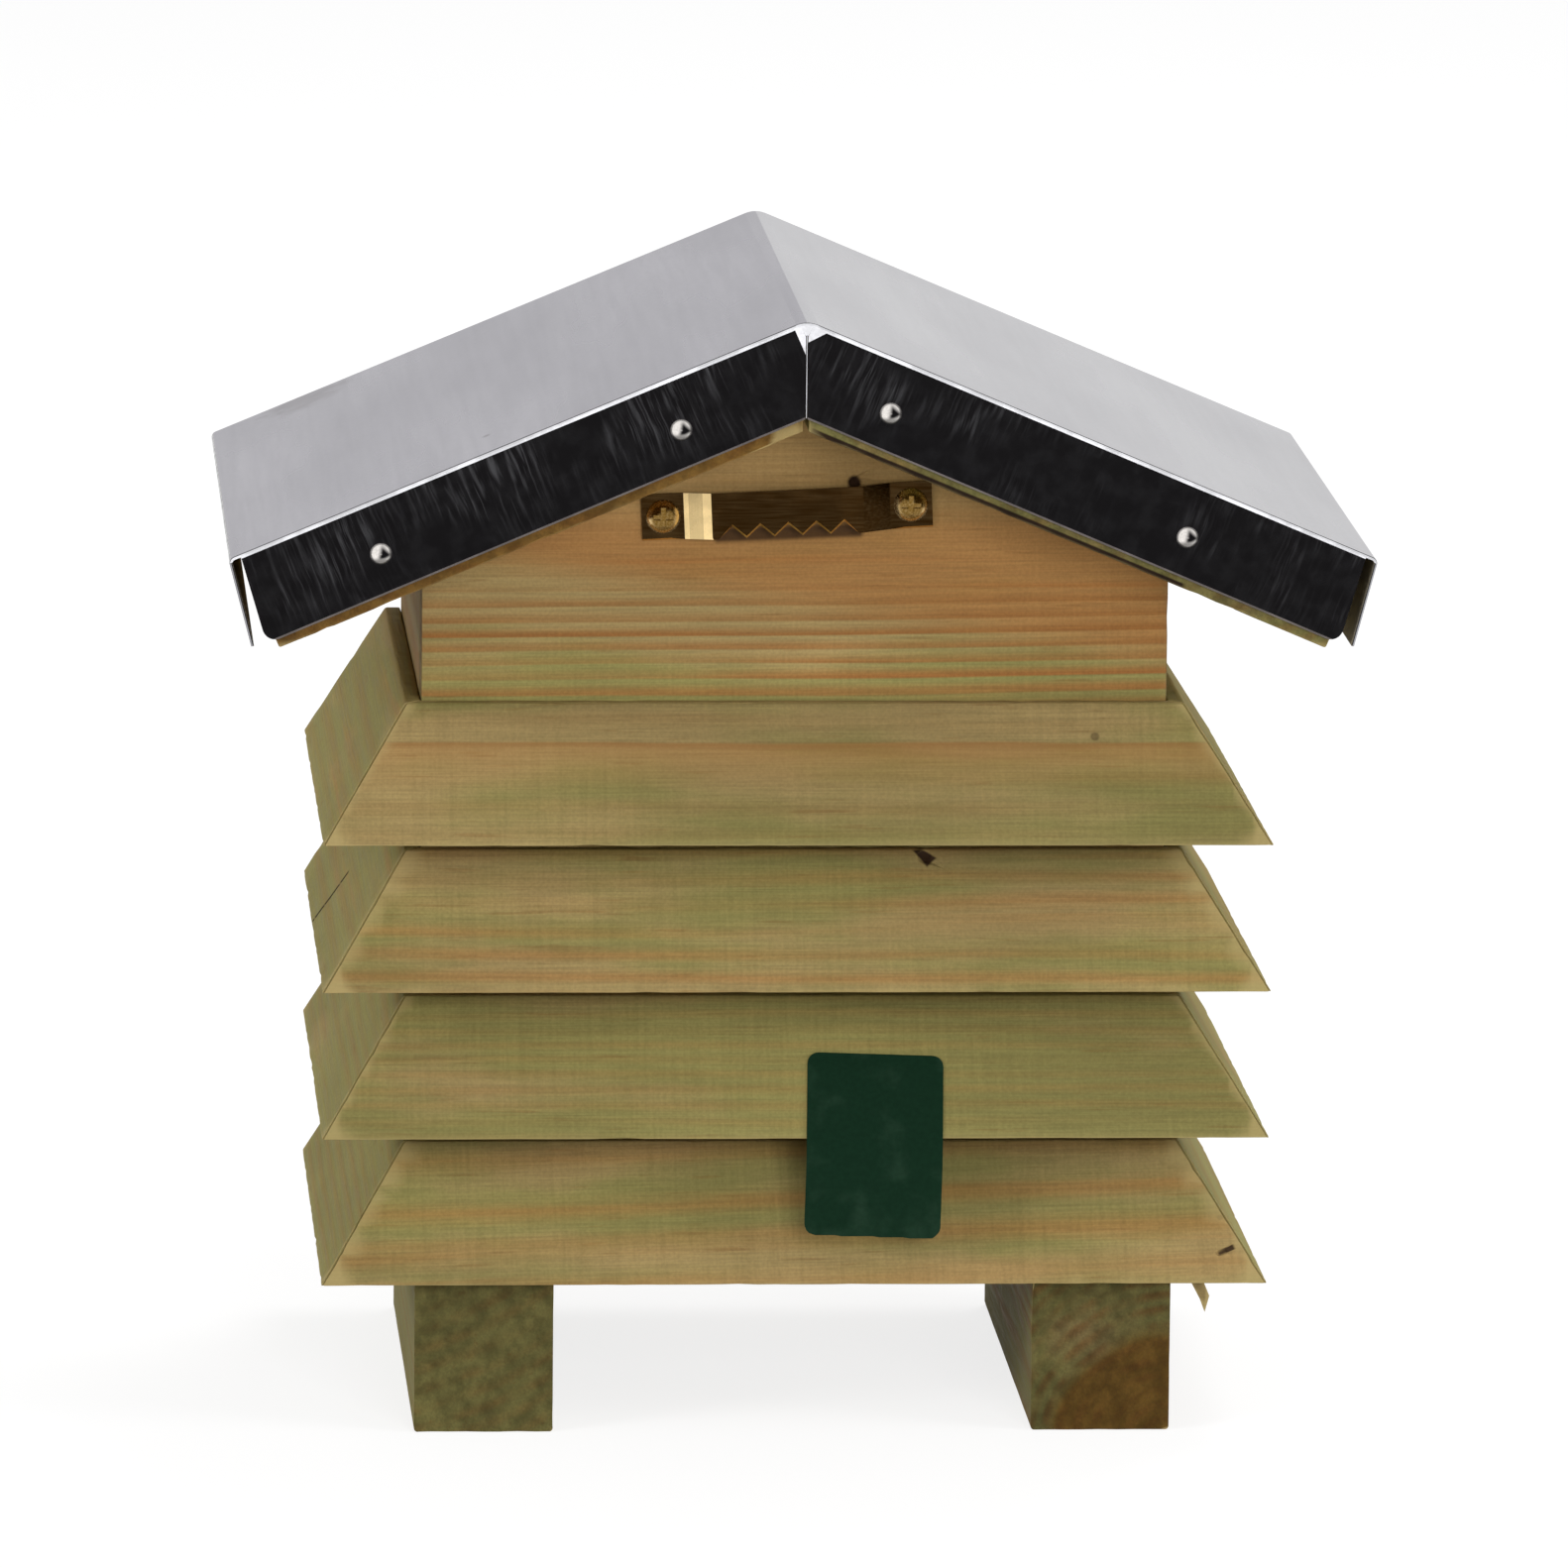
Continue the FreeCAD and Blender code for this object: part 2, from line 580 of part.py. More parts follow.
def build_roof_boards():
    """Two thick boards that meet in a plumb joint under the ridge."""
    eave = f"{size.slope_length} - {size.roof_board_inset}"
    for name, side in SIDES.items():
        ridge = f"{side} * {size.ridge_gap}"
        corners = [
            (ridge, below_sheet(size.ridge_gap, size.sheet_thickness)),
            on_slope(side, eave, size.sheet_thickness),
            on_slope(side, eave, size.roof_build),
            (ridge, below_sheet(size.ridge_gap, size.roof_build)),
        ]
        body = prism(f"{name}_roof_board", corners, size.roof_board_end, f"(2 * {size.roof_board_end})")
        fascia_nails = [point for point in roof_nail_points() if side * number(point[0]) > 0]
        bite = f"({size.roof_nail_length} - {size.sheet_thickness} - {size.roof_board_end_gap})"
        hole = hole_radius(size.roof_nail_shank)
        drill(body, "XZ_Plane", f"-{size.roof_board_end}", fascia_nails, hole, bite, along_normal=True)
        drill(body, "XZ_Plane", size.roof_board_end, fascia_nails, hole, bite)
        plumb = itertools.product(roof_board_nails, gable_middles.values())
        centres = [(f"{side} * {across}", middle) for across, middle in plumb]
        punch(body, "XY_Plane", size.ridge_height, centres, size.nail_side)


def build_roof_sheet():
    """Sheet-metal cap: bent over the ridge and the eaves, with fascias folded down at both ends."""
    body = new_body("roof_sheet")
    thick = size.sheet_thickness
    splay = size.eave_splay
    lip_along = f"{size.slope_length} + {size.sheet_lip} * sin({splay})"
    lip_inward = f"{size.sheet_lip} * cos({splay})"
    fold_inside = f"{size.slope_length} + {thick} * ((1 - sin({splay})) * tan({splay}) - cos({splay}))"
    folds_out = {side: on_slope(side, size.slope_length, "0") for side in SIDES.values()}
    folds_in = {side: on_slope(side, fold_inside, thick) for side in SIDES.values()}
    ridge_out = ("0", size.ridge_height)
    ridge_in = ("0", below_sheet("0", thick))

    def lip(side):
        inner_along = f"{lip_along} - {thick} * cos({splay})"
        inner_inward = f"{lip_inward} + {thick} * sin({splay})"
        return on_slope(side, lip_along, lip_inward), on_slope(side, inner_along, inner_inward)

    right_outer, right_inner = lip(1)
    left_outer, left_inner = lip(-1)
    strip = new_sketch(body, "XZ_Plane")
    add_outline(strip, [
        ridge_out, folds_out[1], right_outer, right_inner, folds_in[1],
        ridge_in, folds_in[-1], left_inner, left_outer, folds_out[-1],
    ])
    pad(body, strip, size.roof_depth, symmetric=True)
    outside = f"({size.fold_radius} + {thick})"
    round_edges(body, along_y_at(ridge_out, *folds_out.values()), outside)
    round_edges(body, along_y_at(ridge_in, *folds_in.values()), size.fold_radius)

    # The two halves of a fascia meet in a plumb seam under the ridge
    fascias = new_sketch(body, "XZ_Plane", f"-{size.rear_fascia}")
    end = f"{size.slope_length} - {outside} - {size.fascia_relief}"
    skin = f"{thick} / 2"
    lower_corners = []
    for side in SIDES.values():
        seam = f"{side} * {outside}"
        lower = on_slope(side, end, size.sheet_lip)
        lower_corners.append(lower)
        add_outline(fascias, [
            (seam, below_sheet(outside, skin)),
            on_slope(side, end, skin),
            lower,
            (f"{side} * {size.ridge_gap} / 2", below_sheet(f"{size.ridge_gap} / 2", size.sheet_lip)),
            (f"{side} * {size.ridge_gap} / 2", below_sheet(f"{size.ridge_gap} / 2", f"2 * {outside}")),
        ])
    rear = pad(body, fascias, thick)
    front = body.newObject("PartDesign::Mirrored", "front_fascia")
    front.Originals = [rear]
    front.MirrorPlane = (origin_plane(body, "XZ_Plane"), [""])
    body.Tip = front
    round_edges(body, along_y_at(*lower_corners), size.fascia_corner_radius)
    round_edges(body, on_roof_edge, size.fascia_edge_radius)
    hole = hole_radius(size.roof_nail_shank)
    drill(body, "XZ_Plane", f"-{size.rear_fascia}", roof_nail_points(), hole, along_normal=True)


def build_hanger():
    """Saw-tooth hanger: a strip joggled out in the middle, with teeth along its lower edge."""
    body = new_body("hanger_plate")
    half = f"{size.hanger_length} / 2"
    raised = f"{size.hanger_raised} / 2"
    foot = f"({raised} + {size.hanger_joggle})"
    shift = f"{size.hanger_thickness} * tan(atan({size.hanger_rise} / {size.hanger_joggle}) / 2)"
    top = f"({size.hanger_rise} + {size.hanger_thickness})"
    back = [(f"-{half}", "0"), (f"-{foot}", "0"), (f"-{raised}", size.hanger_rise),
            (raised, size.hanger_rise), (foot, "0"), (half, "0")]
    face = [(half, size.hanger_thickness), (f"({foot} + {shift})", size.hanger_thickness),
            (f"({raised} + {shift})", top), (f"-({raised} + {shift})", top),
            (f"-({foot} + {shift})", size.hanger_thickness), (f"-{half}", size.hanger_thickness)]
    strip = new_sketch(body, "XY_Plane")
    add_outline(strip, back + face)
    pad(body, strip, size.hanger_depth, symmetric=True)

    # One notch to each tooth pitch, cut from below the strip's lower edge
    teeth = new_sketch(body, "XZ_Plane", f"-{size.hanger_rise}")
    lower = f"-{size.hanger_depth} / 2"
    below = f"({lower} - {size.tooth_depth})"
    start = f"-{TOOTH_COUNT} * {size.tooth_pitch} / 2"
    edge = []
    for index in range(2 * TOOTH_COUNT + 1):
        across = f"({start} + {index} * {size.tooth_pitch} / 2)"
        edge.append((across, f"({lower} + {index % 2} * {size.tooth_depth})"))
    add_outline(teeth, edge + [(f"-({start})", below), (start, below)])
    pocket(body, teeth)
    holes = [(f"{end} * {size.hanger_screw_spacing} / 2", "0") for end in SIDES.values()]
    drill(body, "XZ_Plane", "0", holes, hole_radius(size.hanger_screw_shank))
    body.Placement = FreeCAD.Placement(FreeCAD.Vector(), FreeCAD.Rotation(FreeCAD.Vector(0, 1, 0), 1))
    body.setExpression("Placement.Base.x", size.hanger_across)
    body.setExpression("Placement.Base.y", size.carcass_rear)
    body.setExpression("Placement.Base.z", size.hanger_up)
    body.setExpression("Placement.Rotation.Angle", size.hanger_tilt)


def domed_fastener(label, head, dome, shank, length):
    """Pattern of a domed nail or screw with a blunt end."""
    return revolve(label, [
        ("0", f"-{length}"),
        (f"{shank} / 2", f"-{length}"),
        (f"{shank} / 2", "0"),
        (f"{head} / 2", "0"),
        ("0", dome),
    ], dome=3)


def brad(label, side, length):
    """Pattern of a headless square brad with a chisel point, flush where it is driven in."""
    body = doc.addObject("PartDesign::Body", label + "_pattern")
    half = f"{side} / 2"
    shoulder = f"-({length} - {side})"
    sketch = new_sketch(body, "XY_Plane")
    left_edge = [(f"-{half}", "0"), (f"-{half}", shoulder)]
    right_edge = [(half, shoulder), (half, "0")]
    add_outline(sketch, left_edge + [("0", f"-{length}")] + right_edge)
    pad(body, sketch, side, symmetric=True)
    doc.recompute()
    return body


def build_visible_fasteners():
    """Domed nails through the fascias, and the two cross-head screws of the hanger."""
    nail = domed_fastener(
        "roof_nail", size.roof_nail_head, size.roof_nail_dome, size.roof_nail_shank, size.roof_nail_length)
    seats = []
    for sign, (across, up) in itertools.product((1, -1), roof_nail_points()):
        seats.append(((across, f"{sign} * {size.rear_fascia}", up), (0, -sign, 0)))
    group("roof_nails", nail, seats)

    screw = domed_fastener(
        "hanger_screw", size.hanger_screw_head, size.hanger_screw_dome, size.hanger_screw_shank,
        size.hanger_screw_length)
    recess = new_sketch(screw, "XZ_Plane", f"-{size.hanger_screw_dome}")
    arm = f"{size.cross_width} / 2"
    tip = f"{size.cross_reach} / 2"
    quarter = [(tip, f"-{arm}"), (tip, arm), (arm, arm), (arm, tip), (f"-{arm}", tip), (f"-{arm}", arm)]
    opposite = [(f"-({across})", f"-({up})") for across, up in quarter]
    add_outline(recess, quarter + opposite)
    pocket(screw, recess, size.cross_depth, along_normal=True)
    face = f"({size.carcass_rear} + {size.hanger_thickness})"
    points = [hanger_screw_point(end) for end in SIDES.values()]
    group("hanger_screws", screw, [((across, face, up), (0, -1, 0)) for across, up in points])


def build_hidden_fasteners():
    """Brads of the box and the feet, pins of the louvres, and brads of the roof boards."""
    nail = brad("board_nail", size.nail_side, size.nail_length)
    seats = []
    for side in SIDES.values():
        for along, up in floor_nails + ceiling_nails + front_gable_nails:
            seats.append(((f"{side} * {size.carcass_half}", along, up), (-side, 0, 0)))
        for up in back_board_nail_heights + [back_gable_nail_height]:
            seats.append(((f"{side} * {size.side_middle}", size.carcass_rear, up), (0, -1, 0)))
        for along in foot_nail_ends:
            seats.append(((f"{side} * {foot_nail_across}", along, size.floor_top), (0, 0, -1)))
    group("board_nails", nail, seats)

    pin = brad("louvre_pin", size.pin_side, size.pin_length)
    seats = []
    for up in pin_heights:
        seats += [((across, size.back_inside, up), (0, 1, 0)) for across in back_pin_ends]
        for side, along in itertools.product(SIDES.values(), side_pin_ends):
            seats.append(((f"{side} * {size.side_inside}", along, up), (side, 0, 0)))
    group("louvre_pins", pin, seats)

    long_nail = brad("roof_board_nail", size.nail_side, size.roof_board_nail_length)
    seats = []
    places = itertools.product(SIDES.values(), roof_board_nails, gable_middles.values())
    for side, across, along in places:
        seats.append(((f"{side} * {across}", along, roof_nail_top(across)), (0, 0, -1)))
    group("roof_board_nails", long_nail, seats)


def resting_places(placed, width, radius):
    """Places where a cane could rest: in a corner, on one cane at a wall, or between two canes."""
    spots = [(radius, radius), (width - radius, radius)]
    for across, up, other in placed:
        reach = radius + other
        for wall in (radius, width - radius):
            rise = reach**2 - (wall - across)**2
            if rise > 0:
                spots.append((wall, up + math.sqrt(rise)))
        run = reach**2 - (radius - up)**2
        if run > 0:
            spots += [(across - math.sqrt(run), radius), (across + math.sqrt(run), radius)]
    for (across, up, other), (across_2, up_2, other_2) in itertools.combinations(placed, 2):
        apart = math.hypot(across_2 - across, up_2 - up)
        reach, reach_2 = radius + other, radius + other_2
        along = (reach**2 - reach_2**2 + apart**2) / (2 * apart)
        if abs(along) > reach:
            continue
        square = math.sqrt(reach**2 - along**2)
        for sign in (1, -1):
            spots.append((
                across + (along * (across_2 - across) - sign * square * (up_2 - up)) / apart,
                up + (along * (up_2 - up) + sign * square * (across_2 - across)) / apart,
            ))
    return spots


def settle_canes(width, height, diameters, gap):
    """Drop canes one by one to the lowest free place until no size fits: across, up, size index."""
    placed, sizes, missed = [], [], 0
    for turn in itertools.count():
        index = turn * (len(diameters) - 1) % len(diameters)
        radius = (diameters[index] + gap) / 2
        free = []
        for across, up in resting_places(placed, width, radius):
            least = radius - TOUCH
            inside = least <= across <= width - least and least <= up <= height - least
            clear = all(math.hypot(across - x, up - z) > least + other for x, z, other in placed)
            if inside and clear:
                free.append((up, across))
        if free:
            up, across = min(free)
            placed.append((across, up, radius))
            sizes.append(index)
            missed = 0
        else:
            missed += 1
        if missed == len(diameters):
            return [(across, up, index) for (across, up, radius), index in zip(placed, sizes)]


def build_canes():
    """Hollow nest canes of a few sizes, settled in the chamber against the back board."""
    width = number(f"2 * {size.side_inside}")
    height = number(f"{size.ceiling_under} - {size.floor_top}")
    diameters = [number(f"{size.cane_least} + {index} * {size.cane_step}") for index in range(CANE_SIZES)]
    places = settle_canes(width, height, diameters, number(size.cane_gap))
    for turn, (across, up, index) in enumerate(places):
        label = f"cane_{turn + 1:02d}"
        recess = f"({size.cane_recess} + {turn * 3 % 5} * {size.cane_stagger})"
        outer_radius = f"({size.cane_least} + {index} * {size.cane_step}) / 2"
        tubes = []
        for part_name, radius in (("stem", outer_radius), ("bore", f"{outer_radius} - {size.cane_wall}")):
            tube = doc.addObject("Part::Cylinder", f"{label}_{part_name}")
            tube.setExpression("Radius", radius)
            tube.setExpression("Height", f"{size.back_inside} - {size.body_front} - {recess}")
            front = number(f"{size.body_front} + {recess}")
            where = FreeCAD.Vector(across - width / 2, front, number(size.floor_top) + up)
            tube.Placement = FreeCAD.Placement(where, FreeCAD.Rotation(FreeCAD.Vector(1, 0, 0), -90))
            tubes.append(tube)
        cane = doc.addObject("Part::Cut", label)
        cane.Label = label
        cane.Base, cane.Tool = tubes
        nodes.append(cane)


build_feet()
build_floor()
build_ceiling()
build_side_boards()
build_back_board()
build_gables()
build_back_louvres()
build_side_louvres()
build_roof_boards()
build_roof_sheet()
build_hanger()
build_visible_fasteners()
build_hidden_fasteners()
build_canes()
doc.recompute()

for item in doc.Objects:
    if "Invalid" in item.State or "Error" in item.State:
        raise RuntimeError(f"{item.Label} failed: {item.State}")
for node in nodes:
    if node.Shape.isNull() or not node.Shape.isValid():
        raise RuntimeError(f"{node.Label} has no valid shape")
os.makedirs("parts", exist_ok=True)
for node in nodes:
    node.Shape.exportStep(f"parts/{node.Label}.step")
print(len(nodes), "sub-parts written")
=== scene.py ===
"""Looks of a hive-shaped bee hotel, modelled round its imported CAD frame."""
import math

import bmesh
import bpy
from bpy.props import FloatProperty, FloatVectorProperty, PointerProperty
from bpy.types import Operator, Panel, PropertyGroup
from mathutils import Matrix, Vector, noise


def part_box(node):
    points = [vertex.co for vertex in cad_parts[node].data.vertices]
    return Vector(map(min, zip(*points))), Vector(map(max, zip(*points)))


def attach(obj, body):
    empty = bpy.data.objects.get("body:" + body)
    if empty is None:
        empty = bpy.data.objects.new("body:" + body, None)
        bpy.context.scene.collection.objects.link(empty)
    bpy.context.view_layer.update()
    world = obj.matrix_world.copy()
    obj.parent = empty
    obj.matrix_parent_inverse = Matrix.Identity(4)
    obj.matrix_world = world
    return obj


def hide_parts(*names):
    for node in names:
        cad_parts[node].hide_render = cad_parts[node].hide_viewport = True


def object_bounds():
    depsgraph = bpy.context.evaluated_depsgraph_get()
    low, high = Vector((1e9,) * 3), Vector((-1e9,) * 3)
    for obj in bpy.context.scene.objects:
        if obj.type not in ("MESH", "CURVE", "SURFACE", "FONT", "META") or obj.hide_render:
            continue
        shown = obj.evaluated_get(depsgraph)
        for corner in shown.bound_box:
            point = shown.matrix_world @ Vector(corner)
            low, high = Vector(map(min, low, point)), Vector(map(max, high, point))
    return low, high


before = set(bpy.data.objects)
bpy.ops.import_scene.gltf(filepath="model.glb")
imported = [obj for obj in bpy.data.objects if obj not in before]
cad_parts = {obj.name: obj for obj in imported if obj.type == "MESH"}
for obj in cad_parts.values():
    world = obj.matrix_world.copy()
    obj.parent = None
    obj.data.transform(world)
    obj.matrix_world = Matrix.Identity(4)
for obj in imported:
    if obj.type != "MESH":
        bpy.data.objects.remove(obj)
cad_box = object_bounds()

bl_info = {
    "name": "Bee hotel looks",
    "version": (1, 0, 0),
    "blender": (4, 5, 0),
    "location": "3D View > Sidebar > Bee hotel",
    "description": "Timber, metal, cane and stage of a hive-shaped bee hotel",
    "category": "Object",
}

TIERS = (1, 2, 3, 4)
SIDES = ("left", "right")
MILLIMETRES = 1000
# The roof: its pitch, and in millimetres the height of its ridge and the radius of the CAD's bend there
PITCH = math.radians(22.7)
RIDGE = cad_box[1].z * MILLIMETRES
CAD_BEND = 1.4
# The fascias' inner faces and a place just inside them, along Y from the middle, in millimetres
FASCIA_INNER = 90.4
FASCIA_BACK = 90.3
# Where the fascias' rubbed lower edge starts, down from the ridge and square to the slope, in millimetres
CUT_EDGE = 18.5
# Between which distances down the slope the fascias' ends lie, and how far their lower corners move
# out and down, in millimetres
FASCIA_END = (123.0, 127.6)
CORNER_MOVE = (2.0, 0.5)
# Painted highlight wedges beside the ridge seam, across and down in millimetres, on the left and the right
HIGHLIGHT_WEDGES = ((-1, (9.0, 4.6)), (1, (3.4, 7.6)))
# What closes the seam, in millimetres: its place along Y, half of its thickness and its lower end's height
SEAM_PLACE = 90.65
SEAM_HALF = 0.2
SEAM_END = 218.3
# From the screws' outer sides to the cuts through the hanger's tabs, and half of its toothed length,
# in millimetres
TAB_CUT = 4.9
TEETH_REACH = 14.4
# Where the painted satin highlight band on the hanger's slope starts and ends along X, in millimetres
SATIN_HIGHLIGHT_BAND = (19.8, 22.7)
# Rounding of the hanger's bends, the chamfer along its lower edges, and how far these lie below its middle
# at least, in millimetres
BEND_ROUNDING = 0.3
LOWER_CHAMFER = 0.36
BELOW_MIDDLE = 1.2
# Thickness of the canes' walls, and how far their joints stand out, in metres
CANE_WALL = 0.0055
JOINT_SWELL = 0.0004
# The label, in millimetres: its middle along X, the lower edge of the bevel that carries it, along Y and Z,
# the bevel's run and fall, and how much of the label is stuck to it
LABEL_MIDDLE = -16.5
BEVEL_EDGE = (82.72, 64.1)
BEVEL_SLOPE = (17.85, 27.6)
LABEL_STUCK = 19.2
# Finishes in the order of the material slots: on the roof sheet, the hanger and the canes
LEFT_SLOPE, RIGHT_SLOPE, LEFT_FASCIA, RIGHT_FASCIA, FOLD_HIGHLIGHT, CREASE_DARK_REFLECTION, LOWER_EDGE, LIP_INSIDE = range(8)
PLATE_DARK_REFLECTION, PLATE_HIGHLIGHT, SATIN_HIGHLIGHT = range(3)
CANE_SKIN, CANE_END, CANE_BORE = range(3)


def seen(red, green, blue):
    """A colour as a screen shows it, from 0 to 255, in Blender's linear numbers."""
    parts = [part / 255 for part in (red, green, blue)]
    linear = [part / 12.92 if part <= 0.04045 else ((part + 0.055) / 1.055) ** 2.4 for part in parts]
    return (*linear, 1.0)


def colour(name, description, default):
    """A colour that a user can change."""
    return FloatVectorProperty(
        name=name, description=description, default=default, subtype="COLOR", size=4, min=0, max=1
    )


def length(name, description, default):
    """A size in metres that a user can change."""
    return FloatProperty(name=name, description=description, default=default, min=0, unit="LENGTH")


def lamp_power(name, description, default):
    """A lamp's power that a user can change."""
    return FloatProperty(name=name, description=description, default=default, min=0, unit="POWER")


class TimberLook(PropertyGroup):
    """Treated pine of the boards, louvres and feet."""

    tan: colour("Tan", "Clear wood between the rings", seen(157, 136, 90))
    green: colour("Green", "Wood that has taken up the green treatment", seen(134, 127, 76))
    streak: colour("Streak", "Orange heartwood streaks", seen(163, 112, 62))
    late_wood: colour("Late wood", "Dark part of each ring", seen(122, 82, 44))
    pale: colour("Pale arris", "Rubbed edges", seen(170, 152, 103))
    # Knot also colours the painted shadows behind the hanger's teeth and along the left roof board's lower
    # rear edge
    knot: colour("Knot", "Knots and torn grain", seen(40, 25, 19))
    heart: colour("Heartwood", "Brown middle of the log", seen(134, 96, 40))
    arris: length("Arris", "Rounding of the sawn edges", 0.0005)
    waviness: length("Waviness", "How deep the sawn faces dip", 0.00012)


class MetalLook(PropertyGroup):
    """Sheet roof, nails, hanger and hidden fasteners."""

    zinc: colour("Zinc", "Top of the roof sheet", seen(172, 171, 175))
    dull_zinc: colour("Dull zinc", "Clouds on the roof sheet", seen(144, 143, 148))
    smudge: colour("Smudge", "Marks on the roof sheet", seen(96, 90, 88))
    # Glance and clear glance tint the two slopes' gloss differently, as painted reflection on one sheet
    glance: colour("Glance", "Dull slope seen at a low angle", seen(232, 231, 234))
    clear: colour("Clear glance", "Clean slope seen at a low angle", seen(255, 255, 255))
    # Fascia is a painted dark reflection, used on the fascias, at the creases and in the nails' dark wedges
    fascia: colour("Fascia", "Dark face of the turned-down edges", seen(22, 21, 22))
    scratch: colour("Scratch", "Pale scratches on the fascias", seen(112, 112, 115))
    # Fold is a painted highlight, used along the folds, on the seam's cut edges and fillers and in the
    # wedges beside the seam
    fold: colour("Fold", "Bright line of the folds", seen(236, 236, 240))
    cut_edge: colour("Cut edge", "Rubbed lower edge of the fascias", seen(104, 97, 94))
    inside: colour("Inside", "Dull inside of the eave lips", seen(150, 142, 124))
    nail: colour("Nail", "Domed roof nails", seen(236, 231, 226))
    # Brass is a painted dark reflection on the hanger's flats; bright and satin brass are painted
    # highlights on its slope and lower edges, and bright brass also rims the screw heads
    brass: colour("Brass", "Tarnished hanger plate", seen(46, 29, 9))
    bright_brass: colour("Bright brass", "Rubbed edges of the hanger", seen(240, 210, 152))
    satin_highlight_brass: colour("Satin brass", "Band on the rubbed slope of the hanger", seen(206, 181, 130))
    screw: colour("Screws", "Brass screw heads", seen(112, 84, 34))
    steel: colour("Steel", "Brads and pins", seen(128, 126, 124))
    ridge_radius: length("Ridge radius", "Bend of the sheet over the ridge", 0.006)
    # Width of the painted highlight along the folds
    fold_highlight_strip: length("Bright fold", "Rubbed strip along the folds", 0.0008)


class CaneLook(PropertyGroup):
    """Bamboo nest canes."""

    skin: colour("Skin", "Outside of the canes", seen(196, 166, 104))
    dark: colour("Dark", "Darker tone along the canes", seen(128, 94, 52))
    cut_end: colour("Cut end", "Sawn ends", seen(206, 182, 132))
    bore: colour("Bore", "Inside of the canes", seen(150, 116, 68))


class LabelLook(PropertyGroup):
    """Blank label on the second tier."""

    paper: colour("Paper", "Face of the label", seen(16, 38, 25))
    rubbed: colour("Rubbed paper", "Worn places on the label", seen(70, 96, 78))
    width: length("Width", "Across the label", 0.0287)
    height: length("Height", "Down the label", 0.0402)
    corner: length("Corner", "Radius of its corners", 0.0024)


class StageLook(PropertyGroup):
    """Floor and lamps."""

    floor: colour("Floor", "Floor and background", (1.0, 1.0, 1.0, 1.0))
    sky: FloatProperty(name="Sky", description="Strength of the even light", default=0.36, min=0)
    key: lamp_power("Key", "Power of the main lamp", 43)
    fill: lamp_power("Fill", "Power of the second lamp", 33)
    rim: lamp_power("Rim", "Power of the lamp on the left", 24)
    front: lamp_power("Front", "Power of the lamp before the open front", 26)


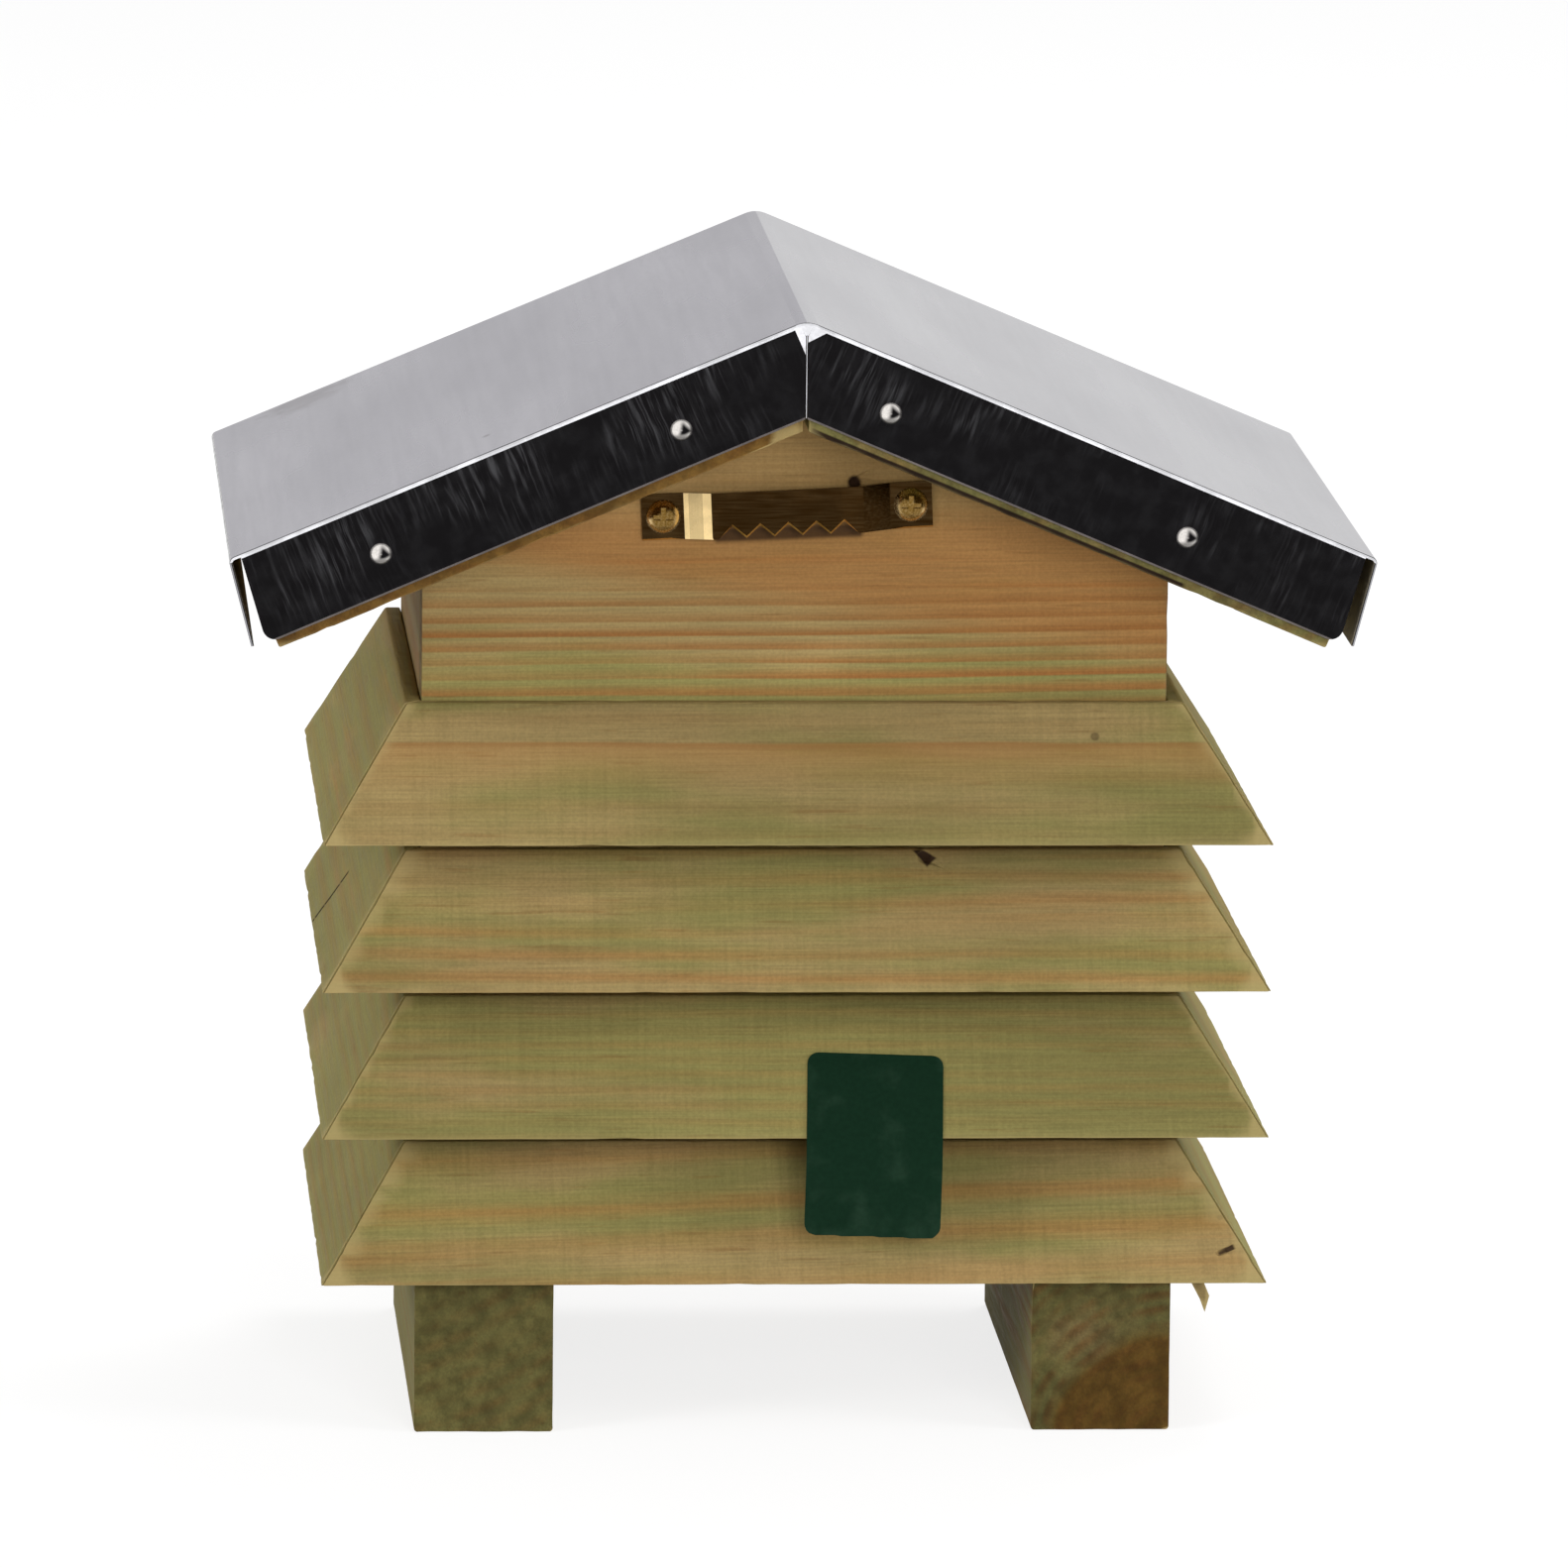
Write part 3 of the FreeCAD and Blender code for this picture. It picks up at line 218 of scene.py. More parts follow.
class Finish:
    """A procedural material, or a world, put together one step at a time."""

    def __init__(self, name, world=None):
        self.material = world or bpy.data.materials.new(name)
        self.material.use_nodes = True
        self.tree = self.material.node_tree
        self.tree.nodes.clear()

    def node(self, kind, inputs=(), **settings):
        """Adds a node, with its settings and what its sockets take."""
        made = self.tree.nodes.new(kind)
        for key, value in settings.items():
            setattr(made, key, value)
        for socket, value in dict(inputs).items():
            if isinstance(value, bpy.types.NodeSocket):
                self.tree.links.new(value, made.inputs[socket])
            else:
                made.inputs[socket].default_value = value
        return made

    def place(self, origin=(0, 0, 0), turn=(0, 0, 0)):
        """Object coordinates measured from an origin, along turned axes."""
        here = self.node("ShaderNodeTexCoord").outputs["Object"]
        inputs = {"Vector": here, "Location": origin, "Rotation": turn}
        return self.node("ShaderNodeMapping", inputs, vector_type="TEXTURE").outputs[0]

    def stretch(self, vector, scale):
        """Coordinates scaled along each axis."""
        return self.node("ShaderNodeMapping", {"Vector": vector, "Scale": scale}).outputs[0]

    def cloud(self, vector, scale, detail, output=0):
        """Noise: its value, or its colour as output 1."""
        inputs = {"Vector": vector, "Scale": scale, "Detail": detail}
        return self.node("ShaderNodeTexNoise", inputs).outputs[output]

    def ramp(self, value, low, high, start=0.0, end=1.0):
        """A value eased from start at low to end at high, and held outside them."""
        inputs = {"Value": value, 1: low, 2: high, 3: start, 4: end}
        return self.node("ShaderNodeMapRange", inputs, interpolation_type="SMOOTHSTEP").outputs[0]

    def number(self, operation, first, second):
        """Two numbers put together."""
        return self.node("ShaderNodeMath", {0: first, 1: second}, operation=operation).outputs[0]

    def times(self, first, second):
        """Two numbers multiplied."""
        return self.number("MULTIPLY", first, second)

    def vector(self, operation, first, second):
        """Two vectors put together."""
        return self.node("ShaderNodeVectorMath", {0: first, 1: second}, operation=operation).outputs[0]

    def mix(self, factor, first, second, blend="MIX"):
        """Two colours mixed."""
        inputs = {0: factor, 6: first, 7: second}
        return self.node("ShaderNodeMix", inputs, data_type="RGBA", blend_type=blend).outputs[2]

    def dim(self, base, factor):
        """A colour multiplied by a number."""
        return self.mix(1.0, base, factor, "MULTIPLY")

    def measure(self, operation, first, second):
        """A number that two vectors give."""
        made = self.node("ShaderNodeVectorMath", {0: first, 1: second}, operation=operation)
        return made.outputs["Value"]

    def distance(self, vector, point):
        """How far a place is from a point."""
        return self.measure("DISTANCE", vector, point)

    def slit(self, start, end, radius, strength):
        """A mask along the line between two points."""
        start = Vector(start)
        along = Vector(end) - start
        here = self.vector("SUBTRACT", self.place(), start)
        way = self.measure("DOT_PRODUCT", here, along.normalized())
        foot = self.node("ShaderNodeVectorMath", {0: along.normalized(), "Scale": way}, operation="SCALE")
        mask = self.ramp(self.distance(here, foot.outputs[0]), radius * 0.7, radius, strength, 0.0)
        mask = self.times(mask, self.ramp(way, -radius, 0.0))
        return self.times(mask, self.ramp(way, along.length, along.length + radius, 1.0, 0.0))

    def filled(self, corners, blur, strength, spot=None):
        """A mask over an outline without hollows, seen along Y, whose corners go clockwise for that view.

        It is read at the place on the piece, or at another vector.
        """
        corners = [Vector(corner) for corner in corners]
        mask = strength
        spot = spot or self.place()
        for start, end in zip(corners, corners[1:] + corners[:1]):
            along = end - start
            inward = Vector((along.z, 0, -along.x)).normalized()
            here = self.vector("SUBTRACT", spot, start)
            gap = self.measure("DOT_PRODUCT", here, inward)
            mask = self.times(self.ramp(gap, -blur, blur), mask)
        return mask

    def edge(self, low, high):
        """One on worn outer edges and nought on the flats."""
        return self.ramp(self.node("ShaderNodeNewGeometry").outputs["Pointiness"], low, high)

    def surface(self, base, roughness, height, relief, **sockets):
        """Closes the material with a relief in metres and the shader's own constants."""
        bump = self.node("ShaderNodeBump", {"Height": height, "Distance": relief, "Strength": 1.0})
        inputs = {"Base Color": base, "Roughness": roughness, "Normal": bump.outputs[0]}
        inputs.update({name.replace("_", " "): value for name, value in sockets.items()})
        shader = self.node("ShaderNodeBsdfPrincipled", inputs)
        self.node("ShaderNodeOutputMaterial", {"Surface": shader.outputs[0]})
        return self.material


def pine(name, look, board, grain="X", pith=(0.02, -0.09), spacing=0.0034, green=0.45, streaks=0.3,
         late=0.5, warm=0.4, blush=0.0, rise=0.0, slope=0.0, saw=1.0, heart=0.0, peak=0.6, shade=1.0,
         lean=0.0, sweep=0.0, strong=None, stain=None, knots=(), cracks=(), tears=()):
    """Treated pine sawn from a log whose pith runs beside the board, so that each face shows its own cut.

    The grain runs along X or Y, and pith is its place across and above the board's middle, in metres.
    Spacing is between rings, and slope the tilt of the grain. Green, streaks, late, warm, blush and saw are
    amounts from 0 to 1, and rise makes the green grow downwards. Heart is the radius of the brown middle of
    the log. Strong gives the heights between which the rings show most. The blush lies above them, starts
    lower towards -X by lean, and fades higher up. Stain gives the heights of a brown band. Peak is where in
    a ring its dark part lies. Shade darkens or lightens the whole board, and sweep darkens it towards -X
    and lightens it towards +X. Each knot is a point, a radius and a strength. Each crack, and each painted
    shadow line, is two points, a radius and a strength, and each tear, and each painted shadow, is the
    corners of its outline, how soft it is and a strength.
    """
    low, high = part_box(board)
    middle = (low + high) / 2
    finish = Finish(name)
    seed = sum(map(ord, name)) % 97 * 0.11
    if grain == "X":
        origin = (middle.x + seed, middle.y + pith[0], middle.z + pith[1])
        turn = (0, slope, 0)
    else:
        origin = (middle.x + pith[0], middle.y + seed, middle.z + pith[1])
        turn = (0, slope, math.pi / 2)
    log = finish.place(origin, turn)
    apart = finish.node("ShaderNodeSeparateXYZ", {0: finish.place(middle)}).outputs
    height_here = apart["Z"]

    # Rings round the pith, bent by slow drift along the trunk
    drift = finish.cloud(finish.stretch(log, (0.14, 1, 1)), 26, 2, 1)
    drift = finish.vector("SUBTRACT", drift, (0.5, 0.5, 0.5))
    drift = finish.vector("MULTIPLY", drift, (0.0, 0.007, 0.007))
    bent = finish.vector("ADD", log, drift)
    wave = {"Vector": bent, "Scale": 2 * math.pi / (20 * spacing), "Distortion": 0.0}
    kind = {"wave_type": "RINGS", "rings_direction": "X", "wave_profile": "SAW"}
    rings = finish.node("ShaderNodeTexWave", wave, **kind).outputs["Fac"]
    ring = finish.times(finish.ramp(rings, 0.05, peak), finish.ramp(rings, peak, 1.0, 1.0, 0.0))
    uneven = finish.cloud(finish.stretch(bent, (0.04, 1, 1)), 140, 3)
    faintest = 0.4 if strong else 0.15
    ring = finish.times(ring, finish.ramp(uneven, 0.36, 0.62, faintest, 1.0))
    if strong:
        bottom, top = (edge - middle.z for edge in strong)
        lower = finish.ramp(height_here, bottom - 0.006, bottom + 0.002, 0.7, 1.0)
        upper = finish.ramp(height_here, top - 0.001, top + 0.003, 1.0, 0.14)
        ring = finish.times(ring, finish.times(lower, upper))
        level = finish.number("SUBTRACT", height_here, finish.times(apart["X"], lean))
        blush = finish.ramp(level, top - 0.006, top + 0.003, 0.0, blush)
        blush = finish.times(blush, finish.ramp(height_here, top + 0.012, top + 0.022, 1.0, 0.4))

    # Patches of green and orange bands that follow the grain
    patch = finish.cloud(finish.stretch(log, (0.25, 1, 1)), 60, 4)
    if rise:
        patch = finish.number("SUBTRACT", patch, finish.times(height_here, rise))
    patch = finish.ramp(patch, 0.7 - green * 0.6, 1.0 - green * 0.6)
    band = finish.cloud(finish.stretch(bent, (0.03, 1, 1)), 190, 3)
    band = finish.ramp(band, 0.72 - streaks * 0.45, 1.0 - streaks * 0.45)
    tone = finish.cloud(finish.stretch(log, (0.3, 1, 1)), 34, 3)
    fibre = finish.cloud(finish.stretch(log, (0.025, 1, 1)), 2000, 4)
    speck = finish.cloud(log, 1500, 3)
    fleck = finish.ramp(finish.cloud(finish.stretch(log, (0.07, 1, 1)), 900, 2), 0.62, 0.76)
    blade = finish.cloud(finish.stretch(log, (1, 0.05, 0.05)), 950, 3)
    blade = finish.times(blade, finish.ramp(tone, 0.3, 0.7, 0.6, 1.2))

    # Colours, from the clear wood to the rings, the fibres, the marks on it and painted shadows
    base = finish.mix(patch, look.tan, look.green)
    base = finish.mix(finish.number("ADD", finish.times(band, 0.7), blush), base, look.streak)
    dark = finish.mix(warm, look.late_wood, look.streak)
    base = finish.mix(finish.times(ring, late), base, dark)
    if heart:
        radius = finish.vector("MULTIPLY", bent, (0, 1, 1))
        core = finish.ramp(finish.distance(radius, (0, 0, 0)), heart * 0.9, heart * 1.05, 0.85, 0.0)
        base = finish.mix(core, base, look.heart)
        base = finish.mix(finish.times(ring, 0.4), base, look.late_wood)
    base = finish.mix(finish.times(fleck, 0.3), base, look.late_wood)
    base = finish.dim(base, finish.ramp(tone, 0.3, 0.7, 0.92 * shade, 1.08 * shade))
    base = finish.dim(base, finish.ramp(fibre, 0.25, 0.75, 0.88, 1.1))
    base = finish.dim(base, finish.ramp(speck, 0.3, 0.7, 0.93, 1.06))
    base = finish.dim(base, finish.ramp(blade, 0.3, 0.7, 1.0 - 0.06 * saw, 1.0 + 0.05 * saw))
    if sweep:
        across = finish.ramp(apart["X"], -0.06, 0.06, 1.0 - sweep, 1.0 + sweep)
        base = finish.dim(base, across)
    if stain:
        foot, top = (edge - middle.z for edge in stain)
        ragged = finish.cloud(finish.stretch(log, (0.12, 1, 1)), 60, 3)
        ragged = finish.times(finish.number("SUBTRACT", ragged, 0.5), 0.004)
        level = finish.number("ADD", height_here, ragged)
        under = finish.times(finish.ramp(level, foot, top, 0.0, 0.3),
                             finish.ramp(level, top, top + 0.0005, 1.0, 0.0))
        line = finish.times(finish.ramp(level, top - 0.0012, top, 0.0, 0.42),
                            finish.ramp(level, top, top + 0.0007, 1.0, 0.0))
        base = finish.mix(under, base, look.streak)
        base = finish.mix(line, base, look.late_wood)
    # Cracks, and painted shadow lines, in the knots' dark colour
    for start, end, radius, strength in cracks:
        base = finish.mix(finish.slit(start, end, radius, strength), base, look.knot)
    # Tears, and painted shadows, filled with the knots' dark colour
    for corners, blur, strength in tears:
        base = finish.mix(finish.filled(corners, blur, strength), base, look.knot)
    for point, radius, strength in knots:
        near = finish.distance(finish.place(), point)
        base = finish.mix(finish.ramp(near, radius * 0.55, radius, strength, 0.0), base, look.knot)

    # End grain takes up more of the treatment, and rubbed arrises are paler
    facing = finish.node("ShaderNodeNewGeometry").outputs["True Normal"]
    facing = finish.node("ShaderNodeSeparateXYZ", {0: facing}).outputs[grain]
    end_grain = finish.ramp(finish.number("ABSOLUTE", facing, 0.0), 0.75, 0.95)
    mottle = finish.ramp(finish.cloud(log, 300, 6), 0.3, 0.7, 0.42, 0.7)
    base = finish.mix(end_grain, base, finish.dim(base, mottle))
    base = finish.mix(finish.times(finish.edge(0.52, 0.58), 0.6), base, look.pale)

    height = finish.number("ADD", finish.times(fibre, 0.7), finish.times(blade, 0.45 * saw))
    height = finish.number("ADD", height, finish.times(ring, 0.5))
    roughness = finish.ramp(fibre, 0.3, 0.7, 0.68, 0.88)
    return finish.surface(base, roughness, height, 0.00012, Specular_IOR_Level=0.12)


def zinc(name, look, dull, smudges=()):
    """Galvanised sheet: pale, with soft clouds, brushed streaks and smudges at places.

    Dull is how far the clouds go, and each smudge a point, a radius and a strength.
    """
    finish = Finish(name)
    here = finish.place()
    smear = finish.cloud(finish.stretch(here, (1, 0.22, 1)), 30, 4)
    streak = finish.cloud(finish.stretch(here, (1, 0.04, 1)), 420, 3)
    fine = finish.cloud(here, 900, 3)
    base = finish.mix(finish.ramp(smear, 0.1, 0.9, 0.0, dull), look.zinc, look.dull_zinc)
    base = finish.mix(finish.ramp(streak, 0.2, 0.85, 0.0, dull * 0.7), base, look.dull_zinc)
    base = finish.dim(base, finish.ramp(fine, 0.3, 0.7, 0.97, 1.025))
    for point, radius, strength in smudges:
        ragged = finish.vector("MULTIPLY", finish.cloud(here, 240, 4, 1), (radius * 1.6,) * 3)
        ragged = finish.vector("ADD", here, finish.vector("SUBTRACT", ragged, (radius * 0.8,) * 3))
        near = finish.distance(finish.stretch(ragged, (1, 0.6, 1)), (point[0], point[1] * 0.6, point[2]))
        base = finish.mix(finish.ramp(near, radius * 0.3, radius, strength, 0.0), base, look.smudge)
    roughness = finish.ramp(smear, 0.1, 0.9, 0.24, 0.32)
    glance = look.glance if dull > 0.5 else look.clear
    return finish.surface(base, roughness, fine, 0.0, Metallic=1.0, Specular_Tint=glance)


def dark_reflection_zinc(name, look, side):
    """A fascia: sheet with a painted dark reflection, and pale scratches that run down from its fold and
    fade.
    """
    finish = Finish(name)
    here = finish.place((0, 0, cad_box[1].z), (0, side * PITCH, 0))
    below = finish.node("ShaderNodeSeparateXYZ", {0: here}).outputs["Z"]
    wobble = finish.vector("MULTIPLY", finish.cloud(here, 90, 2, 1), (0.0016, 0, 0))
    here = finish.vector("ADD", here, wobble)
    patch = finish.ramp(finish.cloud(here, 46, 3), 0.4, 0.66)
    patch = finish.times(patch, finish.ramp(below, -0.02, -0.003, 0.2, 1.0))
    scratch = finish.ramp(finish.cloud(finish.stretch(here, (1, 1, 0.11)), 760, 3), 0.48, 0.74)
    hair = finish.ramp(finish.cloud(finish.stretch(here, (1, 1, 0.04)), 2600, 2), 0.55, 0.72)
    scratch = finish.number("ADD", finish.times(scratch, 0.8), finish.times(hair, 0.5))
    scratch = finish.times(scratch, patch)
    blot = finish.ramp(finish.cloud(here, 230, 4), 0.38, 0.72)
    # The dark base is a painted reflection, with pale blots and scratches of the sheet's own
    base = finish.mix(finish.times(blot, 0.03), look.fascia, look.scratch)
    base = finish.mix(finish.times(scratch, 0.38), base, look.scratch)
    roughness = finish.ramp(blot, 0.0, 1.0, 0.12, 0.24)
    return finish.surface(base, roughness, scratch, 0.00002, Metallic=1.0)


def worn_metal(name, main, rubbed, grain=(1, 1, 1), roughness=(0.22, 0.38), wear=0.5, brush=0.2):
    """Brushed metal, brighter on its worn edges."""
    finish = Finish(name)
    here = finish.place()
    brushed = finish.cloud(finish.stretch(here, grain), 2600, 3)
    stain = finish.ramp(finish.cloud(here, 160, 4), 0.35, 0.7)
    base = finish.mix(finish.ramp(brushed, 0.35, 0.75, 0.0, brush), main, rubbed)
    base = finish.dim(base, finish.ramp(stain, 0.0, 1.0, 0.78, 1.1))
    base = finish.mix(finish.times(finish.edge(0.55, 0.68), wear), base, rubbed)
    gloss = finish.ramp(stain, 0.0, 1.0, *roughness)
    return finish.surface(base, gloss, brushed, 0.00001, Metallic=1.0)


def bamboo(name, main, other, end=False):
    """Cane skin and bore with fibres along Y, or a sawn end with its dots."""
    finish = Finish(name)
    here = finish.place()
    tone = finish.ramp(finish.cloud(finish.stretch(here, (1, 0.05, 1)), 70, 2), 0.35, 0.65)
    fibre = finish.cloud(finish.stretch(here, (1, 0.02, 1)), 2400, 3)
    base = finish.mix(finish.times(tone, 0.45), main, other)
    base = finish.dim(base, finish.ramp(fibre, 0.25, 0.75, 0.82, 1.12))
    height = fibre
    if end:
        across = finish.stretch(here, (1, 0.01, 1))
        cells = finish.node("ShaderNodeTexVoronoi", {"Vector": across, "Scale": 1300.0})
        dots = finish.ramp(cells.outputs["Distance"], 0.16, 0.3, 0.7, 0.0)
        base = finish.mix(dots, base, other)
        height = finish.number("SUBTRACT", fibre, dots)
    return finish.surface(base, finish.ramp(fibre, 0.3, 0.7, 0.42, 0.66), height, 0.00008)


def piece(name, shape, materials, slot, *nodes):
    """Makes a modelled shape an object of its own that rides on the root and stands for CAD nodes."""
    mesh = bpy.data.meshes.new(name)
    shape.to_mesh(mesh)
    shape.free()
    for material in materials:
        mesh.materials.append(material)
    made = bpy.data.objects.new(name, mesh)
    bpy.context.scene.collection.objects.link(made)
    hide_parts(*nodes)
    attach(made, "root")


def smooth_over(shape, angle):
    """Shades a shape smoothly, except at edges sharper than an angle in degrees."""
    for face in shape.faces:
        face.smooth = True
    for edge in shape.edges:
        edge.smooth = len(edge.link_faces) == 2 and edge.calc_face_angle() < math.radians(angle)


def paint(node, material):
    """Gives a CAD node that stays its finish."""
    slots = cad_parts[node].data.materials
    slots.clear()
    slots.append(material)


def cad_copy(node):
    """A CAD node's mesh in millimetres, its loose triangles joined."""
    shape = bmesh.new()
    shape.from_mesh(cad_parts[node].data)
    bmesh.ops.scale(shape, vec=(MILLIMETRES,) * 3, verts=shape.verts)
    bmesh.ops.remove_doubles(shape, verts=shape.verts, dist=0.002)
    return shape


def whole(shape):
    """All of a shape's geometry."""
    return shape.verts[:] + shape.edges[:] + shape.faces[:]


def to_metres(shape):
    """Scales a shape from millimetres to metres."""
    bmesh.ops.scale(shape, vec=(1 / MILLIMETRES,) * 3, verts=shape.verts)


def cut_through(shape, point, normal, merge=0.0001):
    """Cuts all of a shape along a plane."""
    bmesh.ops.bisect_plane(shape, geom=whole(shape), dist=merge, plane_co=point, plane_no=normal)


def join_flats(shape, angle):
    """Joins faces that turn by less than an angle in degrees."""
    most = math.radians(angle)
    bmesh.ops.dissolve_limit(shape, angle_limit=most, verts=shape.verts[:], edges=shape.edges[:])


def solid_board(node):
    """The outside of a convex board, without the holes of its hidden fasteners."""
    shape = cad_copy(node)
    bmesh.ops.delete(shape, geom=shape.edges[:], context="EDGES_FACES")
    bmesh.ops.convex_hull(shape, input=shape.verts[:])
    loose = [vert for vert in shape.verts if not vert.link_faces]
    bmesh.ops.delete(shape, geom=loose, context="VERTS")
    join_flats(shape, 1)
    bmesh.ops.recalc_face_normals(shape, faces=shape.faces[:])
    return shape


def slice_up(shape, spacing):
    """Cuts a shape into a grid of that spacing along each axis."""
    for axis in range(3):
        places = [vert.co[axis] for vert in shape.verts]
        low = min(places)
        span = max(places) - low
        cuts = int(span / spacing)
        normal = Vector([float(axis == other) for other in range(3)])
        for cut in range(1, cuts + 1):
            point = normal * (low + span * cut / (cuts + 1))
            cut_through(shape, point, normal)


def away_from(point, line):
    """How far a point is from a line of points."""
    if len(line) == 1:
        return (point - line[0]).length
    gaps = []
    for start, end in zip(line, line[1:]):
        along = end - start
        part = max(0.0, min(1.0, (point - start).dot(along) / along.length_squared))
        gaps.append((point - start - along * part).length)
    return min(gaps)


def press(shape, line, width, depth, into, finest=0.25, rounds=5):
    """Presses a groove along a line of points, or a pit at one, into a face."""
    line = [Vector(point) for point in line]
    for _ in range(rounds):
        long = [
            edge for edge in shape.edges
            if edge.calc_length() > finest
            and away_from((edge.verts[0].co + edge.verts[1].co) / 2, line) < width + edge.calc_length() / 2
        ]
        if not long:
            break
        bmesh.ops.subdivide_edges(shape, edges=long, cuts=1, use_grid_fill=True)
    into = Vector(into).normalized()
    for vert in shape.verts:
        gap = away_from(vert.co, line) / width
        if gap < 1:
            vert.co += into * depth * (1 - gap ** 3)


def run(edge):
    """The way an edge runs."""
    return (edge.verts[1].co - edge.verts[0].co).normalized()


def weathered(node, look, marks, spacing=4.0):
    """A sawn board: rounded arrises, faces that dip a little and small chips along the edges."""
    shape = solid_board(node)
    mitres = [edge for edge in shape.edges if abs(run(edge).x) > 0.1 and abs(run(edge).y) > 0.1]
    arrises = [edge for edge in shape.edges if edge not in mitres]
    for edges, part in ((arrises, 1.0), (mitres, 0.3)):
        live = [edge for edge in edges if edge.is_valid]
        bmesh.ops.bevel(shape, geom=live, offset=look.arris * MILLIMETRES * part, offset_type="OFFSET",
                        segments=2, profile=0.5, affect="EDGES", clamp_overlap=True, material=-1)
    slice_up(shape, spacing)
    shape.normal_update()
    seed = Vector((sum(map(ord, node)), 0, 0)) * 0.37
    moves = []
    for vert in shape.verts:
        normals = [face.normal for face in vert.link_faces]
        turned = min(normals[0].dot(normal) for normal in normals)
        dip = 0.5 + 0.5 * noise.noise(vert.co * 0.06 + seed)
        move = dip * look.waviness
        if turned < 0.95:
            chip = noise.noise(vert.co * 0.45 + seed * 2)
            move += max(0.0, chip - 0.12) * look.arris * 0.9
        moves.append((vert, vert.normal * -move * MILLIMETRES))
    for vert, move in moves:
        vert.co += move
    for mark in marks:
        press(shape, *mark)
    if marks:
        bmesh.ops.triangulate(shape, faces=shape.faces[:])
    to_metres(shape)
    smooth_over(shape, 24)
    return shape


def board(context, node, slot="treated_pine", marks=(), **cut):
    """One timber piece, with pine cut as told."""
    look = context.scene.bee_timber
    shape = weathered(node, look, marks)
    piece(f"{node}_timber", shape, [pine(f"pine_{node}", look, node, **cut)], slot, node)


class BEE_OT_stage(Operator):
    """Floor, lamps, even light and the camera."""

    bl_idname = "bee.stage"
    bl_label = "Stage"

    def execute(self, context):
        look = context.scene.bee_stage
        scene = context.scene
        scene.view_settings.view_transform = "Standard"
        self.floor(look)
        self.sky(scene, look)
        self.lamp("key_lamp", (-0.6, 3.0, 0.75), 1.1, look.key)
        self.lamp("fill_lamp", (2.4, 1.4, 0.9), 1.0, look.fill)
        self.lamp("rim_lamp", (-2.3, 0.9, 0.9), 1.0, look.rim)
        self.lamp("front_lamp", (-0.7, -1.5, 2.6), 1.2, look.front)
        self.camera(scene)
        return {"FINISHED"}

    def direct(self, finish):
        """One for rays from the camera, mirrors and glass."""
        light = finish.node("ShaderNodeLightPath").outputs
        either = finish.number("MAXIMUM", light["Is Camera Ray"], light["Is Glossy Ray"])
        return finish.number("MAXIMUM", either, light["Is Transmission Ray"])

    def floor(self, look):
        """A pale floor that keeps a soft shadow and looks white to the camera."""
        shape = bmesh.new()
        bmesh.ops.create_circle(shape, cap_ends=True, segments=96, radius=12)
        finish = Finish("pale_floor")
        paint_coat = finish.node("ShaderNodeBsdfDiffuse", {"Color": seen(228, 228, 228)}).outputs[0]
        thin_coat = finish.node("ShaderNodeBsdfDiffuse", {"Color": seen(150, 150, 150)}).outputs[0]
        glow = finish.node("ShaderNodeEmission", {"Color": look.floor, "Strength": 0.8}).outputs[0]
        bright = finish.node("ShaderNodeAddShader", {0: thin_coat, 1: glow}).outputs[0]
        either = finish.node("ShaderNodeMixShader", {0: self.direct(finish), 1: paint_coat, 2: bright})
        finish.node("ShaderNodeOutputMaterial", {"Surface": either.outputs[0]})
        mesh = bpy.data.meshes.new("floor")
        shape.to_mesh(mesh)
        shape.free()
        mesh.materials.append(finish.material)
        floor = bpy.data.objects.new("floor", mesh)
        bpy.context.scene.collection.objects.link(floor)

    def sky(self, scene, look):
        """Even light, and white where the camera or a mirror looks past the floor."""
        scene.world = bpy.data.worlds.new("even_light")
        finish = Finish("even_light", scene.world)
        light = finish.node("ShaderNodeBackground", {"Color": look.floor, "Strength": look.sky}).outputs[0]
        white = finish.node("ShaderNodeBackground", {"Color": look.floor, "Strength": 1.0}).outputs[0]
        either = finish.node("ShaderNodeMixShader", {0: self.direct(finish), 1: light, 2: white})
        finish.node("ShaderNodeOutputWorld", {"Surface": either.outputs[0]})

    def lamp(self, name, place, width, power):
        """A square soft lamp turned to the hotel, which the metals don't mirror."""
        data = bpy.data.lights.new(name, "AREA")
        data.size = width
        data.energy = power
        made = bpy.data.objects.new(name, data)
        made.location = place
        middle = Vector((0, 0, 0.12))
        towards = middle - Vector(place)
        made.rotation_euler = towards.to_track_quat("-Z", "Y").to_euler()
        made.visible_glossy = False
        bpy.context.scene.collection.objects.link(made)

    def camera(self, scene):
        """The photograph's viewpoint: behind the hotel, a little to one side and above."""
        data = bpy.data.cameras.new("camera")
        data.sensor_fit = "HORIZONTAL"
        data.sensor_width = 36.0
        data.lens = 317.016
        data.clip_start = 0.05
        data.clip_end = 100.0
        place = Vector((0.18306, 2.9267, 0.62725))
        target = Vector((-0.000515, 0.0210, 0.12921))
        roll = math.radians(0.571)
        forward = (target - place).normalized()
        right = forward.cross(Vector((0, 0, 1))).normalized()
        up = right.cross(forward)
        turned_right = right * math.cos(roll) + up * math.sin(roll)
        turned_up = up * math.cos(roll) - right * math.sin(roll)
        made = bpy.data.objects.new("camera", data)
        axes = Matrix((turned_right, turned_up, -forward)).transposed()
        made.matrix_world = Matrix.Translation(place) @ axes.to_4x4()
        scene.collection.objects.link(made)
        scene.camera = made


